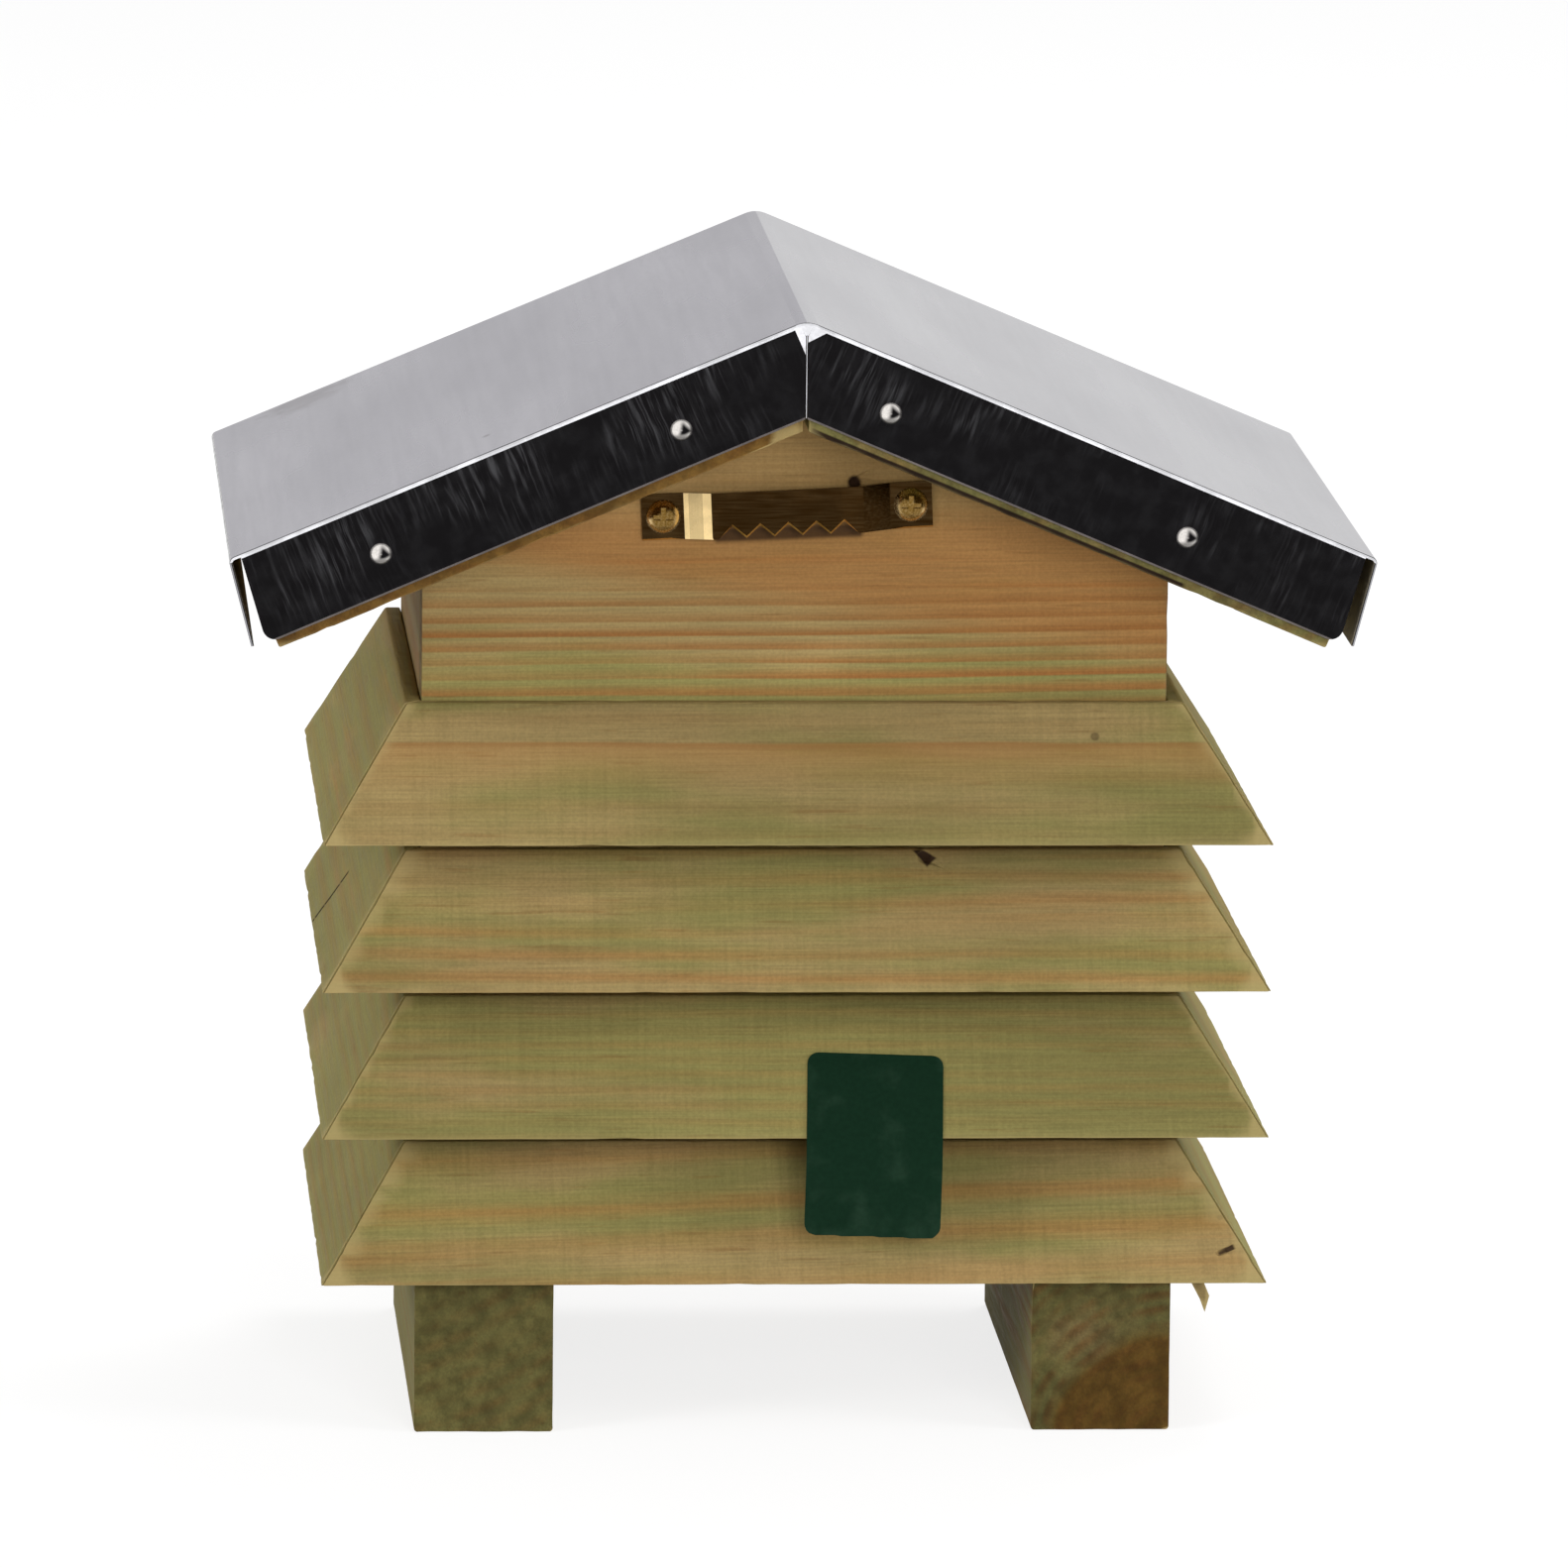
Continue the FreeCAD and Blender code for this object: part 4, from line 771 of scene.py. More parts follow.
class BEE_OT_back_louvres(Operator):
    """Four rear louvre boards, mitred at both ends."""

    bl_idname = "bee.back_louvres"
    bl_label = "Rear louvres"

    def execute(self, context):
        # Marks are pressed in millimetres, and their dark places are painted in metres
        inward = (0, -0.84, -0.54)
        tear = [(-27.6, 65.6, 121.2)]
        torn = [(-0.0251, 0.0649, 0.1225), (-0.0280, 0.0670, 0.1193),
                (-0.0301, 0.0658, 0.1210), (-0.0270, 0.0647, 0.1227)]
        notch = [(-90.0, 78.7, 38.5), (-92.9, 78.1, 39.4)]
        board(context, "back_louvre_4", pith=(0.05, -0.1), spacing=0.0066, green=0.56, streaks=0.1,
              late=0.25, warm=0.3, saw=0.9, shade=0.79, stain=(0.1360, 0.1459),
              knots=[((-0.0630, 0.0689, 0.1475), 0.0012, 0.5)])
        board(context, "back_louvre_3", pith=(-0.03, 0.16), spacing=0.0052, green=0.62, streaks=0.2,
              late=0.5, warm=0.85, saw=0.9, shade=0.86, marks=[(tear, 1.5, 0.8, inward)],
              tears=[(torn, 0.00025, 0.96)])
        board(context, "back_louvre_2", pith=(0.09, -0.03), spacing=0.0028, green=0.85, streaks=0.16,
              late=0.22, warm=0.75, shade=0.83)
        board(context, "back_louvre_1", pith=(0.02, -0.09), spacing=0.0075, green=0.6, streaks=0.34,
              late=0.5, warm=0.85, slope=0.03, shade=0.84, marks=[(notch, 0.7, 0.4, inward)],
              cracks=[((-0.0902, 0.0787, 0.0386), (-0.0929, 0.0780, 0.0396), 0.0007, 0.92)],
              knots=[((-0.0905, 0.0743, 0.0453), 0.0008, 0.3)])
        return {"FINISHED"}


class BEE_OT_side_louvres(Operator):
    """Eight side louvre boards, mitred at the rear."""

    bl_idname = "bee.side_louvres"
    bl_label = "Side louvres"

    def execute(self, context):
        crack = [(92.4, 4.4, 107.0), (95.9, 2.7, 101.5), (99.5, 0.1, 96.0)]
        groove = [(crack, 0.6, 0.6, (-0.84, 0, -0.54))]
        points = [Vector(point) / MILLIMETRES for point in crack]
        slits = [(*pair, 0.0011, 0.92) for pair in zip(points, points[1:])]
        for side in SIDES:
            for tier in TIERS:
                cracked = side == "right" and tier == 3
                board(context, f"{side}_louvre_{tier}", grain="Y", pith=(0.03 + 0.02 * tier, -0.06),
                      spacing=0.0024 + 0.0007 * tier, green=0.9, streaks=0.18 + 0.04 * tier, late=0.3,
                      saw=0.5, shade=1.1, marks=groove if cracked else (), cracks=slits if cracked else ())
        return {"FINISHED"}


class BEE_OT_walls(Operator):
    """The inner box: back, sides, floor, ceiling and both gables."""

    bl_idname = "bee.walls"
    bl_label = "Inner box"

    def execute(self, context):
        forward = (0, -1, 0)
        hole = [(-12.2, 61.2, 200.4)]
        # A painted shadow on the gable behind the hanger's teeth, in the knots' dark colour
        shadow_behind_teeth = [(0.0171, 0.0612, 0.1907), (0.0171, 0.0612, 0.1876),
                        (-0.0140, 0.0612, 0.1889), (-0.0140, 0.0612, 0.1918)]
        board(context, "back_gable", pith=(0.05, 0.2), spacing=0.0031, green=0.44, streaks=0.3, late=1.0,
              warm=0.5, blush=0.7, rise=9.0, slope=0.008, saw=0.6, peak=0.85, shade=0.95, lean=0.14,
              sweep=0.07, strong=(0.157, 0.1765), knots=[((-0.0122, 0.0612, 0.2004), 0.0019, 0.97)],
              tears=[(shadow_behind_teeth, 0.0007, 0.84)], marks=[(hole, 1.2, 0.9, forward)])
        board(context, "front_gable", pith=(-0.06, -0.12), spacing=0.003, green=0.4, streaks=0.4)
        board(context, "back_board", pith=(0.09, 0.03), spacing=0.003)
        board(context, "floor_board", pith=(0.02, -0.08), spacing=0.0032)
        board(context, "ceiling_board", pith=(0.02, 0.08), spacing=0.0032)
        for side in SIDES:
            board(context, f"{side}_side_board", grain="Y", pith=(0.1, 0.02), spacing=0.0036, green=0.4,
                  streaks=0.5, late=0.6, shade=0.8)
        return {"FINISHED"}


class BEE_OT_feet(Operator):
    """Two runner feet with their end grain to the rear."""

    bl_idname = "bee.feet"
    bl_label = "Feet"

    def execute(self, context):
        board(context, "right_foot", "foot_pine", grain="Y", pith=(0.03, 0.07), spacing=0.004, green=0.95,
              streaks=0.05, late=0.3, shade=0.75)
        board(context, "left_foot", "foot_pine", grain="Y", pith=(-0.014, -0.018), spacing=0.0032,
              green=0.85, streaks=0.1, late=0.35, heart=0.0235, shade=0.7)
        return {"FINISHED"}


class BEE_OT_roof_boards(Operator):
    """Two thick boards under the roof sheet."""

    bl_idname = "bee.roof_boards"
    bl_label = "Roof boards"

    def execute(self, context):
        # A painted shadow line along the lower rear edge of the left roof board
        shadow_line_edge = ((-0.0015, 0.0899, 0.2149), (-0.0785, 0.0899, 0.1826), 0.0012, 0.97)
        board(context, "left_roof_board", grain="Y", pith=(0.01, 0.08), green=0.8, streaks=0.1, late=0.4,
              shade=0.9, cracks=[shadow_line_edge])
        # The right roof board is brown heartwood, and its darkness is partly painted shade under its fascia
        board(context, "right_roof_board", grain="Y", pith=(0.01, 0.08), green=0.1, streaks=0.5, late=0.6,
              heart=0.2, shade=0.85)
        return {"FINISHED"}


class BEE_OT_roof_sheet(Operator):
    """The folded sheet cap."""

    bl_idname = "bee.roof_sheet"
    bl_label = "Roof sheet"

    def execute(self, context):
        look = context.scene.bee_metal
        strip = look.fold_highlight_strip * MILLIMETRES
        shape = cad_copy("roof_sheet")
        join_flats(shape, 0.4)
        self.soften_ridge(shape, look.ridge_radius * MILLIMETRES)
        self.mark_folds(shape, strip)
        self.spread_ends(shape)
        shape.normal_update()
        for face in shape.faces:
            face.material_index = self.finish_of(face, strip)
        self.close_seam(shape)
        to_metres(shape)
        smooth_over(shape, 26)
        # The flats stay flat, and only the bends are shaded smoothly
        for face in shape.faces:
            facing = face.normal
            over_ridge = abs(facing.x) < 0.37 and facing.z > 0.4
            face.smooth = over_ridge or 0.05 < abs(facing.y) < 0.99
        smudges = [((0.1005, -0.085, 0.1968), 0.011, 0.5), ((0.0658, 0.0688, 0.2113), 0.0012, 0.7),
                   ((0.0934, -0.083, 0.1997), 0.006, 0.25)]
        along_folds = {"grain": (1, 0.1, 1), "roughness": (0.14, 0.24), "wear": 0.0}
        finishes = [
            # One sheet on both slopes: the right slope's heavier dull clouds and duller glance are painted
            # reflection, and its smudges are marks on the sheet
            zinc("zinc_left_slope", look, 0.3),
            zinc("zinc_right_slope", look, 0.75, smudges),
            dark_reflection_zinc("zinc_left_fascia", look, -1),
            dark_reflection_zinc("zinc_right_fascia", look, 1),
            # Painted highlight along the folds and on the seam
            worn_metal("zinc_fold_highlight", look.fold, look.fold, **along_folds),
            # Painted dark reflection at the crease beside each fold
            worn_metal("zinc_crease_dark_reflection", look.fascia, look.scratch, **along_folds),
            worn_metal("zinc_cut_edge", look.cut_edge, look.scratch, **along_folds),
            self.inside(look),
        ]
        piece("roof_sheet_zinc", shape, finishes, "galvanised_sheet", "roof_sheet")
        return {"FINISHED"}

    def soften_ridge(self, shape, radius, steps=5, fade=8):
        """Bends the sheet over the ridge in an arc of that radius, which fades out below it."""
        reach = radius * math.sin(PITCH)
        for step in range(-steps, steps + 1):
            cut_through(shape, (reach * step / steps, 0, 0), (1, 0, 0))
        sharp_ridge = RIDGE + CAD_BEND * (1 / math.cos(PITCH) - 1)
        for vert in shape.verts:
            across = abs(vert.co.x)
            if across < reach:
                arc = sharp_ridge - radius / math.cos(PITCH) + math.sqrt(radius ** 2 - across ** 2)
                before = sharp_ridge - across * math.tan(PITCH)
                if across < CAD_BEND * math.sin(PITCH):
                    before = RIDGE - CAD_BEND + math.sqrt(CAD_BEND ** 2 - across ** 2)
                part = max(0.0, 1 - (sharp_ridge - vert.co.z) / fade)
                vert.co.z -= (before - arc) * part

    def close_seam(self, shape):
        """Fills the seam under the ridge at both ends: a wedge in its notch and a thin bar below."""
        wedge = (RIDGE - 0.95, RIDGE - 3.1, 1.45, 0.27)
        bar = (RIDGE - 3, SEAM_END, 0.06, 0.06)
        for end in (-1, 1):
            for upper, lower, wide, narrow in (wedge, bar):
                corners = bmesh.ops.create_cube(shape, size=2)["verts"]
                for vert in corners:
                    high = vert.co.z > 0
                    vert.co.x *= wide if high else narrow
                    vert.co.y = end * (SEAM_PLACE + SEAM_HALF * vert.co.y)
                    vert.co.z = upper if high else lower
                faces = list({face for vert in corners for face in vert.link_faces})
                bmesh.ops.recalc_face_normals(shape, faces=faces)
                # Both fillers take the painted highlight of the folds
                for face in faces:
                    face.material_index = FOLD_HIGHLIGHT

    def cut(self, shape, faces, point, normal):
        """Cuts some faces along a plane."""
        edges = {edge for face in faces for edge in face.edges}
        verts = {vert for face in faces for vert in face.verts}
        parts = [*verts, *edges, *faces]
        bmesh.ops.bisect_plane(shape, geom=parts, dist=0.0001, plane_co=point, plane_no=normal)

    def mark_folds(self, shape, strip):
        """Cuts each fascia along its fold and its lower edge, and along the painted highlight wedge beside
        the ridge seam.
        """
        top = Vector((0, 0, RIDGE))
        for side, (across, down) in HIGHLIGHT_WEDGES:
            normal = Vector((side * math.sin(PITCH), 0, math.cos(PITCH)))
            planes = [
                (top - normal * strip, normal),
                (top - normal * CUT_EDGE, normal),
                (top + Vector((side * across, 0, 0)), (side * down, 0, -across)),
            ]
            shape.normal_update()
            for point, facing in planes:
                faces = [face for face in shape.faces if self.on_fascia(face, side)]
                self.cut(shape, faces, point, facing)

    def spread_ends(self, shape):
        """Moves the outer ends of the fascias towards the eave lips, most at their lower corners."""
        top = Vector((0, 0, RIDGE))
        for vert in shape.verts:
            side = math.copysign(1, vert.co.x)
            outward = Vector((side * math.cos(PITCH), 0, -math.sin(PITCH)))
            inward = Vector((-side * math.sin(PITCH), 0, -math.cos(PITCH)))
            along = (vert.co - top).dot(outward)
            below = (vert.co - top).dot(inward)
            if abs(vert.co.y) > FASCIA_BACK and FASCIA_END[0] < along < FASCIA_END[1] and below > 1:
                part = below / CUT_EDGE
                vert.co += (outward * CORNER_MOVE[0] + inward * CORNER_MOVE[1]) * part

    def inside(self, look):
        """Dull sheet on the inside of the eave lips."""
        finish = Finish("zinc_inside")
        blot = finish.cloud(finish.place(), 230, 4)
        base = finish.mix(finish.ramp(blot, 0.35, 0.7, 0.0, 0.3), look.inside, look.scratch)
        return finish.surface(base, 0.8, blot, 0.00001, Specular_IOR_Level=0.0)

    def on_fascia(self, face, side):
        """Whether a face belongs to the flat of a fascia on one side of the ridge."""
        return abs(face.normal.y) > 0.95 and side * face.calc_center_median().x > 0

    def finish_of(self, face, strip):
        """The finish of a face of the sheet, from where it lies and how it is turned."""
        normal = face.normal
        spot = face.calc_center_median()
        right = spot.x > 0
        fall = RIDGE - spot.z
        below = fall * math.cos(PITCH) - abs(spot.x) * math.sin(PITCH)
        outside = abs(spot.y) > FASCIA_INNER
        # Along each fold a painted highlight, with a painted dark reflection at its crease on the slope
        # side
        if outside and abs(normal.y) > 0.1 and below < strip:
            return FOLD_HIGHLIGHT if abs(normal.y) > 0.6 else CREASE_DARK_REFLECTION
        if outside and abs(normal.y) > 0.95:
            if below > CUT_EDGE:
                return LOWER_EDGE
            # Painted highlight wedges beside the ridge seam
            across, down = dict(HIGHLIGHT_WEDGES)[1 if right else -1]
            if abs(spot.x) / across + fall / down < 1:
                return FOLD_HIGHLIGHT
        # The cut edges of the fascias at the seam take a painted highlight
        if outside and abs(normal.x) > 0.8 and abs(spot.x) < 3:
            return FOLD_HIGHLIGHT
        if abs(normal.x) > 0.8 and abs(spot.x) > 100 and normal.x * spot.x < 0:
            return LIP_INSIDE
        if abs(normal.y) > 0.95 or abs(normal.x) > 0.8:
            return RIGHT_FASCIA if right else LEFT_FASCIA
        return RIGHT_SLOPE if right else LEFT_SLOPE


class BEE_OT_fasteners(Operator):
    """Domed roof nails, the hanger's screws, and the hidden brads and pins."""

    bl_idname = "bee.fasteners"
    bl_label = "Nails and screws"

    def execute(self, context):
        look = context.scene.bee_metal
        paint("roof_nails", self.nail(look))
        paint("hanger_screws", self.screw(look))
        steel = worn_metal("plain_steel", look.steel, look.nail)
        for node in ("board_nails", "louvre_pins", "roof_board_nails"):
            paint(node, steel)
        return {"FINISHED"}

    def nail(self, look):
        """Bright domed steel, greyed below by painted shade, with a painted dark reflection in a wedge
        where its surface faces out and to the left.
        """
        finish = Finish("bright_nail")
        facing = finish.node("ShaderNodeNewGeometry").outputs["Normal"]
        upward = finish.node("ShaderNodeSeparateXYZ", {0: facing}).outputs["Z"]
        wedge = [(-0.05, 0, 0.74), (0.22, 0, -0.38), (-0.24, 0, -0.4), (-0.95, 0, -0.05)]
        scuff = finish.cloud(finish.place(), 1800, 3)
        # Painted shade on the lower side of each head, and a painted dark reflection in the wedge
        base = finish.dim(look.nail, finish.ramp(upward, -0.55, -0.15, 0.3, 1.0))
        base = finish.mix(finish.filled(wedge, 0.22, 1.0, facing), base, look.fascia)
        base = finish.dim(base, finish.ramp(scuff, 0.3, 0.7, 0.9, 1.06))
        return finish.surface(base, finish.ramp(scuff, 0.3, 0.7, 0.08, 0.18), scuff, 0.000004, Metallic=1.0)

    def screw(self, look):
        """Brass that is dark on the flat of each head and bright round its rim."""
        finish = Finish("screw_brass")
        facing = finish.node("ShaderNodeNewGeometry").outputs["Normal"]
        out = finish.node("ShaderNodeSeparateXYZ", {0: facing}).outputs["Y"]
        scuff = finish.cloud(finish.place(), 2600, 3)
        rim = finish.times(finish.ramp(out, 0.2, 0.5), finish.ramp(out, 0.72, 0.86, 1.0, 0.0))
        base = finish.mix(finish.ramp(scuff, 0.35, 0.75, 0.0, 0.2), look.screw, look.bright_brass)
        base = finish.mix(finish.times(rim, 0.75), base, look.bright_brass)
        return finish.surface(base, finish.ramp(scuff, 0.3, 0.7, 0.16, 0.3), scuff, 0.00001, Metallic=1.0)


class BEE_OT_hanger(Operator):
    """The saw-tooth hanger: a painted dark reflection on its flats, rounded bends, and painted highlights
    on its lower edges and one slope.
    """

    bl_idname = "bee.hanger"
    bl_label = "Hanger"

    def execute(self, context):
        look = context.scene.bee_metal
        shape = cad_copy("hanger_plate")
        join_flats(shape, 2)
        self.part_tabs(shape)
        self.round_off(shape, self.turned(shape, 20, 50), BEND_ROUNDING, 3)
        shape.normal_update()
        lower = [edge for edge in self.turned(shape, 60, 180) if self.under_front(edge)]
        self.round_off(shape, lower, LOWER_CHAMFER, 1)
        bmesh.ops.remove_doubles(shape, verts=shape.verts[:], dist=0.01)
        self.part_teeth(shape)
        shape.normal_update()
        for face in shape.faces:
            face.material_index = self.finish_of(face)
        to_metres(shape)
        bright = look.bright_brass
        along_strip = {"grain": (0.04, 1, 1), "roughness": (0.14, 0.22), "wear": 0.0}
        # Painted dark reflection on the flats, painted highlights on the slope and lower edges, and a
        # painted satin highlight band
        finishes = [
            worn_metal("brass_dark_reflection", look.brass, bright, brush=0.025, **along_strip),
            worn_metal("brass_highlight", bright, bright, **along_strip),
            worn_metal("satin_highlight_brass", look.satin_highlight_brass, bright, (1, 1, 0.04), (0.2, 0.3), 0.0),
        ]
        piece("hanger_plate_brass", shape, finishes, "brass", "hanger_plate")
        return {"FINISHED"}

    def line(self, shape):
        """The strip's middle, and the directions along it and across it."""
        low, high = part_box("hanger_plate")
        along = run(max(shape.edges, key=lambda edge: edge.calc_length()))
        along *= math.copysign(1, along.x)
        return (low + high) / 2 * MILLIMETRES, along, along.cross(Vector((0, 1, 0)))

    def part_tabs(self, shape):
        """Cuts each tab across its hole, in place of the cuts that the mesh came with."""
        middle, along, across = self.line(shape)
        low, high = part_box("hanger_screws")
        for place in (low.x * MILLIMETRES + TAB_CUT, high.x * MILLIMETRES - TAB_CUT):
            point = middle + along * ((place - middle.x) / along.x)
            cut_through(shape, point, along, 0.001)
        flush = [edge for edge in self.turned(shape, -1, 1) if abs(run(edge).dot(across)) < 0.999]
        bmesh.ops.dissolve_edges(shape, edges=flush, use_verts=True)

    def turned(self, shape, least, most):
        """The edges whose faces turn between two angles in degrees."""
        shared = [edge for edge in shape.edges if len(edge.link_faces) == 2]
        return [edge for edge in shared if least < math.degrees(edge.calc_face_angle()) < most]

    def under_front(self, edge):
        """Whether an edge, off the bends, lies between the strip's front and a face that looks down."""
        front, side = sorted((face.normal for face in edge.link_faces), key=lambda normal: -normal.y)
        low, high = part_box("hanger_plate")
        drop = (low.z + high.z) / 2 * MILLIMETRES - max(vert.co.z for vert in edge.verts)
        outline = side.y < 0.1 and side.z < -0.3 and drop > BELOW_MIDDLE
        return front.y > 0.6 and outline and edge.calc_length() > 3

    def round_off(self, shape, edges, radius, segments):
        """Rounds edges, or chamfers them with one segment."""
        bmesh.ops.bevel(shape, geom=edges, offset=radius, offset_type="OFFSET", segments=segments,
                        profile=0.5, affect="EDGES", clamp_overlap=False, material=-1)

    def part_teeth(self, shape):
        """Cuts the strip at its teeth's corners, so that no face has a hollow, and at the painted satin
        highlight band.
        """
        middle, along, across = self.line(shape)
        corners = [vert.co - middle for vert in shape.verts if vert.co.y > middle.y]
        lower = [corner.dot(along) for corner in corners if corner.dot(across) < -BELOW_MIDDLE]
        places = {round(place, 2) for place in lower if abs(place) < TEETH_REACH}
        places.update(place - middle.x for place in SATIN_HIGHLIGHT_BAND)
        for place in sorted(places):
            point = middle + along * place
            cut_through(shape, point, along, 0.006)
        bmesh.ops.triangulate(shape, faces=[face for face in shape.faces if len(face.verts) > 4])

    def finish_of(self, face):
        """A painted dark reflection on the flats, a painted highlight on the slope on the right with a
        satin highlight band, and painted highlights on the lower edges.
        """
        normal = face.normal
        if normal.y > 0.2 and abs(normal.z) < 0.1 and normal.x > 0.42:
            return SATIN_HIGHLIGHT if SATIN_HIGHLIGHT_BAND[0] < face.calc_center_median().x < SATIN_HIGHLIGHT_BAND[1] else PLATE_HIGHLIGHT
        return PLATE_HIGHLIGHT if 0.2 < normal.y < 0.97 and normal.z < -0.15 else PLATE_DARK_REFLECTION


class BEE_OT_canes(Operator):
    """Hollow bamboo canes that fill the nest chamber."""

    bl_idname = "bee.canes"
    bl_label = "Canes"

    def execute(self, context):
        look = context.scene.bee_cane
        finishes = [
            bamboo("cane_skin", look.skin, look.dark),
            bamboo("cane_end", look.cut_end, look.bore, end=True),
            bamboo("cane_bore", look.bore, look.dark),
        ]
        names = sorted(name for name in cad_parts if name.startswith("cane_"))
        for turn, name in enumerate(names):
            shape = self.cane(name, turn)
            piece(f"{name}_bamboo", shape, finishes, "bamboo", name)
        return {"FINISHED"}

    def cane(self, name, turn):
        """One cane, spun from the profile of its wall, with a joint at a place of its own."""
        low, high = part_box(name)
        middle = (low + high) / 2
        outer = (high.x - low.x) / 2
        bore = outer - CANE_WALL
        skin = outer - JOINT_SWELL
        front = low.y
        joint = front + 0.012 + 0.009 * (turn % 7)
        wall = [
            (bore, high.y), (bore, front + 0.03), (bore, front + 0.0008), (bore + 0.0006, front),
            (skin - 0.0007, front), (skin, front + 0.0008), (skin, joint - 0.005),
            (skin - 0.0002, joint - 0.0018), (outer, joint - 0.0005), (outer, joint + 0.0004),
            (skin - 0.0004, joint + 0.001), (skin, joint + 0.005), (skin, high.y),
        ]
        shape = bmesh.new()
        verts = [shape.verts.new((middle.x + reach, along, middle.z)) for reach, along in wall]
        for start, end in zip(verts, verts[1:] + verts[:1]):
            shape.edges.new((start, end))
        bmesh.ops.spin(shape, geom=whole(shape), cent=middle, axis=(0, 1, 0), angle=2 * math.pi, steps=28,
                       use_merge=True)
        bmesh.ops.recalc_face_normals(shape, faces=shape.faces[:])
        for face in shape.faces:
            spot = face.calc_center_median()
            reach = math.hypot(spot.x - middle.x, spot.z - middle.z)
            if spot.y < front + 0.0005:
                face.material_index = CANE_END
            elif reach < bore + 0.0004:
                face.material_index = CANE_BORE
            else:
                face.material_index = CANE_SKIN
        smooth_over(shape, 40)
        return shape


class BEE_OT_splinter(Operator):
    """A sliver torn from the lower edge of the bottom rear louvre."""

    bl_idname = "bee.splinter"
    bl_label = "Splinter"

    def execute(self, context):
        shape = bmesh.new()
        outline = [(-83.4, 33.6), (-86.4, 33.2), (-87.9, 29.6), (-86.9, 26.2), (-85.9, 28.9)]
        # Its place along Y, its thickness and the height of its root, in millimetres
        place, thickness, root = 79.4, 0.7, 32.6
        face = shape.faces.new([shape.verts.new((across, place, up)) for across, up in outline])
        thick = bmesh.ops.extrude_face_region(shape, geom=[face])
        moved = [part for part in thick["geom"] if isinstance(part, bmesh.types.BMVert)]
        bmesh.ops.translate(shape, verts=moved, vec=(0, thickness, 0))
        bmesh.ops.recalc_face_normals(shape, faces=shape.faces[:])
        slice_up(shape, 1.2)
        for vert in shape.verts:
            hang = max(0.0, root - vert.co.z)
            vert.co.y += 0.018 * hang ** 2 + 0.25 * noise.noise(vert.co * 0.9)
        to_metres(shape)
        smooth_over(shape, 35)
        look = context.scene.bee_timber
        wood = pine("pine_splinter", look, "back_louvre_1", green=0.3, streaks=0.3, late=0.3, shade=0.6)
        piece("splinter", shape, [wood], "treated_pine")
        return {"FINISHED"}


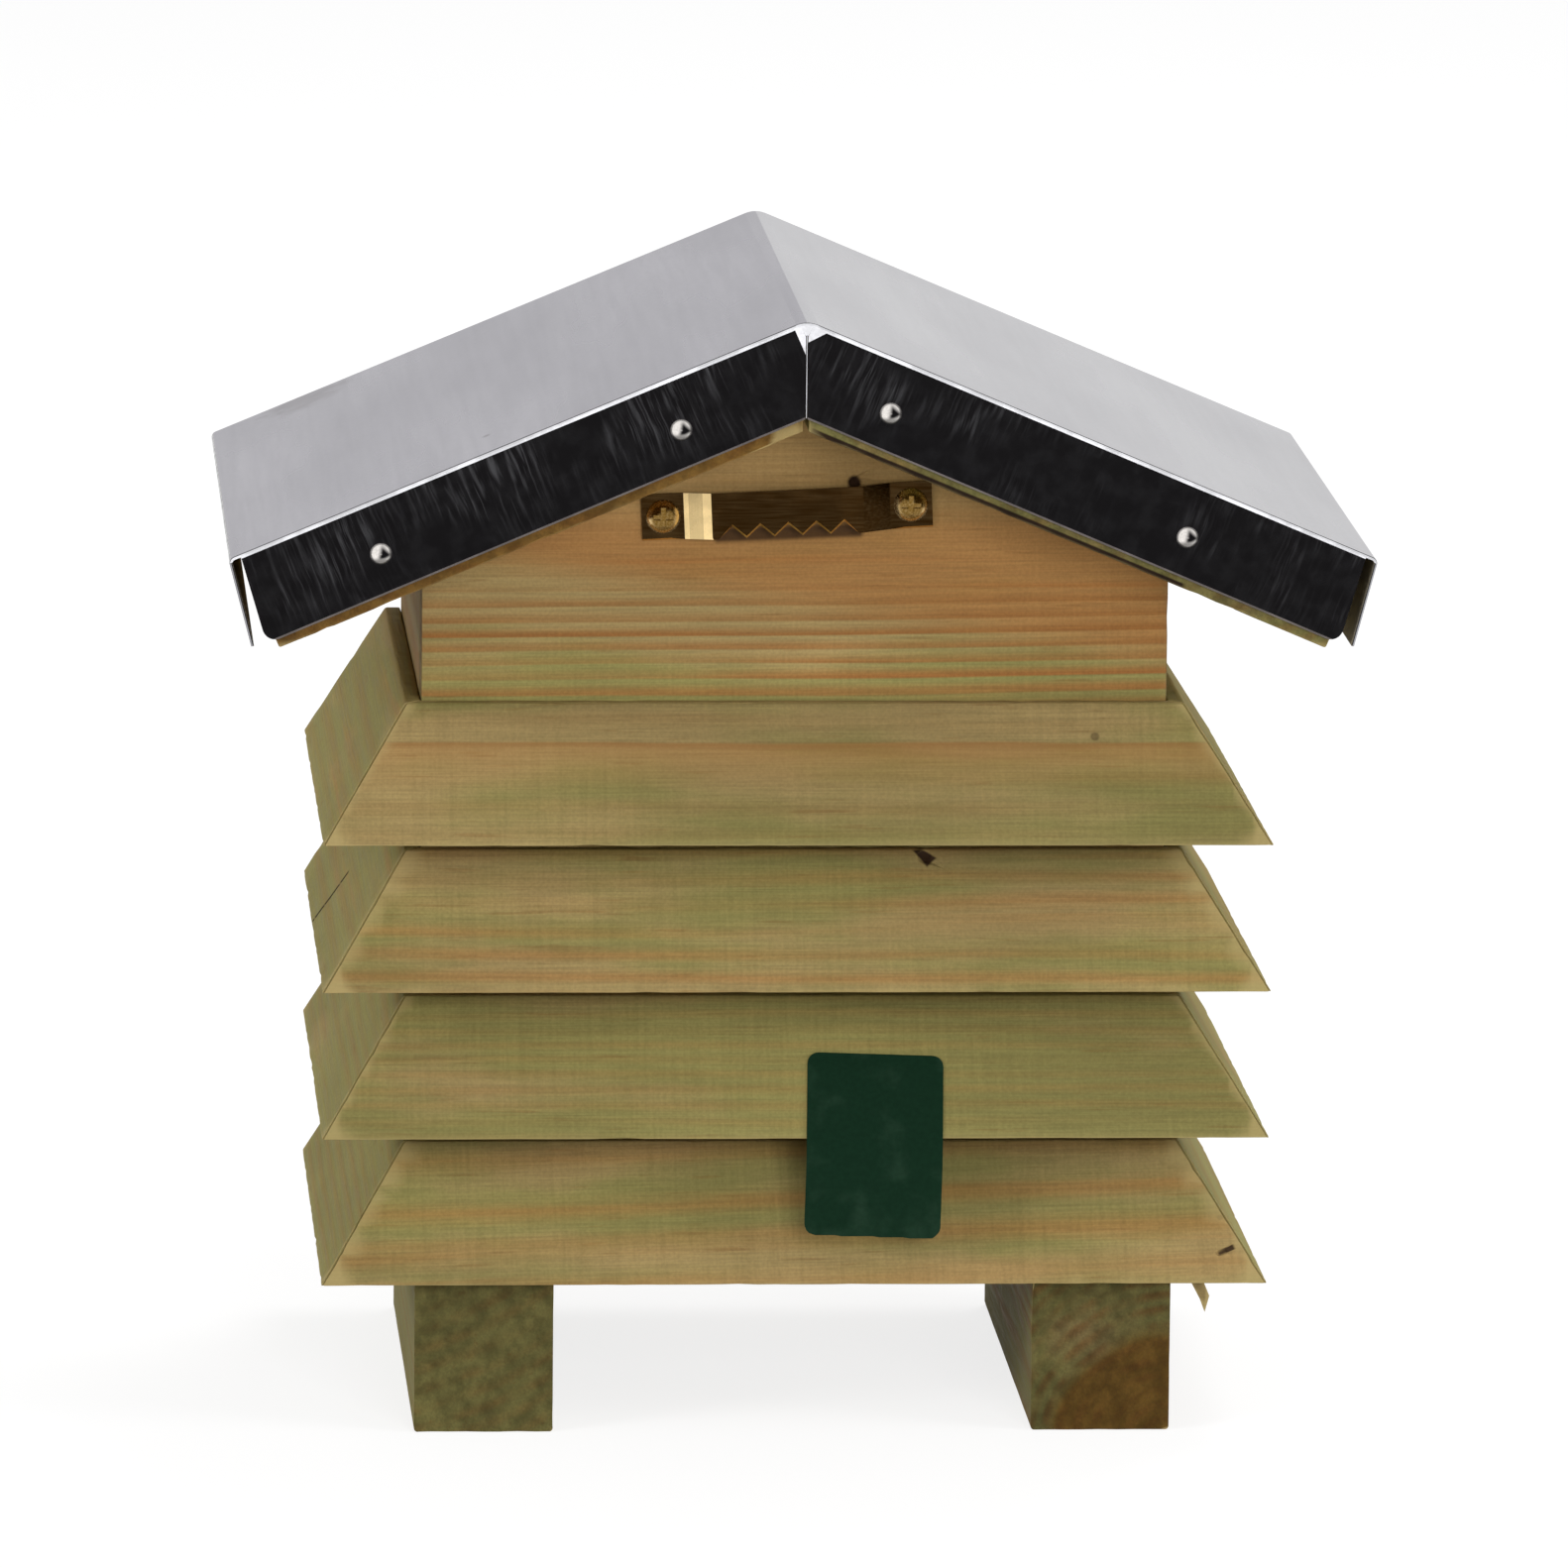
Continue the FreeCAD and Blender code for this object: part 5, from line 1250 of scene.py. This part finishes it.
class BEE_OT_label(Operator):
    """A blank label stuck on the second tier, its lower half hanging free."""

    bl_idname = "bee.label"
    bl_label = "Label"

    def execute(self, context):
        look = context.scene.bee_label
        shape = self.sheet(look)
        finish = Finish("label_paper")
        here = finish.place()
        grain = finish.cloud(here, 900, 3)
        rub = finish.ramp(finish.cloud(here, 120, 4), 0.5, 0.75)
        base = finish.mix(finish.times(rub, 0.12), look.paper, look.rubbed)
        base = finish.dim(base, finish.ramp(grain, 0.3, 0.7, 0.92, 1.08))
        gloss = finish.ramp(rub, 0.0, 1.0, 0.5, 0.62)
        paper = finish.surface(base, gloss, grain, 0.00003, Specular_IOR_Level=0.03)
        piece("blank_label", shape, [paper], "treated_pine")
        return {"FINISHED"}

    def sheet(self, look):
        """A rounded sheet, laid down the bevel and then bent to hang."""
        width = look.width * MILLIMETRES
        height = look.height * MILLIMETRES
        shape = bmesh.new()
        corners = [(-width / 2, 0, 0), (width / 2, 0, 0), (width / 2, -height, 0), (-width / 2, -height, 0)]
        face = shape.faces.new([shape.verts.new(corner) for corner in corners])
        bmesh.ops.bevel(shape, geom=face.verts[:], offset=look.corner * MILLIMETRES, offset_type="OFFSET",
                        segments=5, profile=0.5, affect="VERTICES", material=-1)
        slice_up(shape, 1.6)
        bmesh.ops.rotate(shape, verts=shape.verts, cent=(0, -height / 2, 0),
                         matrix=Matrix.Rotation(math.radians(-2), 3, "Z"))
        for vert in shape.verts:
            out, up = self.hang(-vert.co.y)
            vert.co = Vector((LABEL_MIDDLE - vert.co.x, out, up))
        bmesh.ops.recalc_face_normals(shape, faces=shape.faces[:])
        if sum(face.normal.y for face in shape.faces) < 0:
            bmesh.ops.reverse_faces(shape, faces=shape.faces[:])
        bmesh.ops.solidify(shape, geom=whole(shape), thickness=0.25)
        bmesh.ops.recalc_face_normals(shape, faces=shape.faces[:])
        to_metres(shape)
        smooth_over(shape, 40)
        return shape

    def hang(self, down):
        """Where the label is, out from the wall and up, at a length down from its upper edge."""
        bevel = math.atan2(*BEVEL_SLOPE)
        out, up = BEVEL_EDGE
        free = down - LABEL_STUCK
        if free <= 0:
            return out + free * math.sin(bevel), up - free * math.cos(bevel)
        # Below the bevel the label turns down along a curl of that length, in steps
        step, curl = 0.25, 9
        for part in range(int(free / step)):
            lean = bevel * (1 - 0.75 * min(1.0, part * step / curl))
            out += step * math.sin(lean)
            up -= step * math.cos(lean)
        return out, up


OPERATORS = (
    BEE_OT_stage, BEE_OT_back_louvres, BEE_OT_side_louvres, BEE_OT_walls, BEE_OT_feet, BEE_OT_roof_boards,
    BEE_OT_roof_sheet, BEE_OT_fasteners, BEE_OT_hanger, BEE_OT_canes, BEE_OT_splinter, BEE_OT_label,
)
LOOKS = {
    "bee_timber": TimberLook, "bee_metal": MetalLook, "bee_cane": CaneLook, "bee_label": LabelLook,
    "bee_stage": StageLook,
}


class BEE_PT_sidebar(Panel):
    """Lists the looks and the steps that build the hotel."""

    bl_idname = "BEE_PT_sidebar"
    bl_label = "Bee hotel"
    bl_space_type = "VIEW_3D"
    bl_region_type = "UI"
    bl_category = "Bee hotel"

    def draw(self, context):
        for name in LOOKS:
            group = getattr(context.scene, name)
            box = self.layout.box()
            for key in group.__annotations__:
                box.prop(group, key)
        for step in OPERATORS:
            self.layout.operator(step.bl_idname)


def register():
    for group in LOOKS.values():
        bpy.utils.register_class(group)
    for name, group in LOOKS.items():
        setattr(bpy.types.Scene, name, PointerProperty(type=group))
    for step in (*OPERATORS, BEE_PT_sidebar):
        bpy.utils.register_class(step)


def unregister():
    for step in (BEE_PT_sidebar, *reversed(OPERATORS)):
        bpy.utils.unregister_class(step)
    for name, group in LOOKS.items():
        delattr(bpy.types.Scene, name)
        bpy.utils.unregister_class(group)


def main():
    register()
    bpy.ops.bee.stage()
    bpy.ops.bee.back_louvres()
    bpy.ops.bee.side_louvres()
    bpy.ops.bee.walls()
    bpy.ops.bee.feet()
    bpy.ops.bee.roof_boards()
    bpy.ops.bee.roof_sheet()
    bpy.ops.bee.fasteners()
    bpy.ops.bee.hanger()
    bpy.ops.bee.canes()
    bpy.ops.bee.splinter()
    bpy.ops.bee.label()
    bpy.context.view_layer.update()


if __name__ == "__main__":
    main()
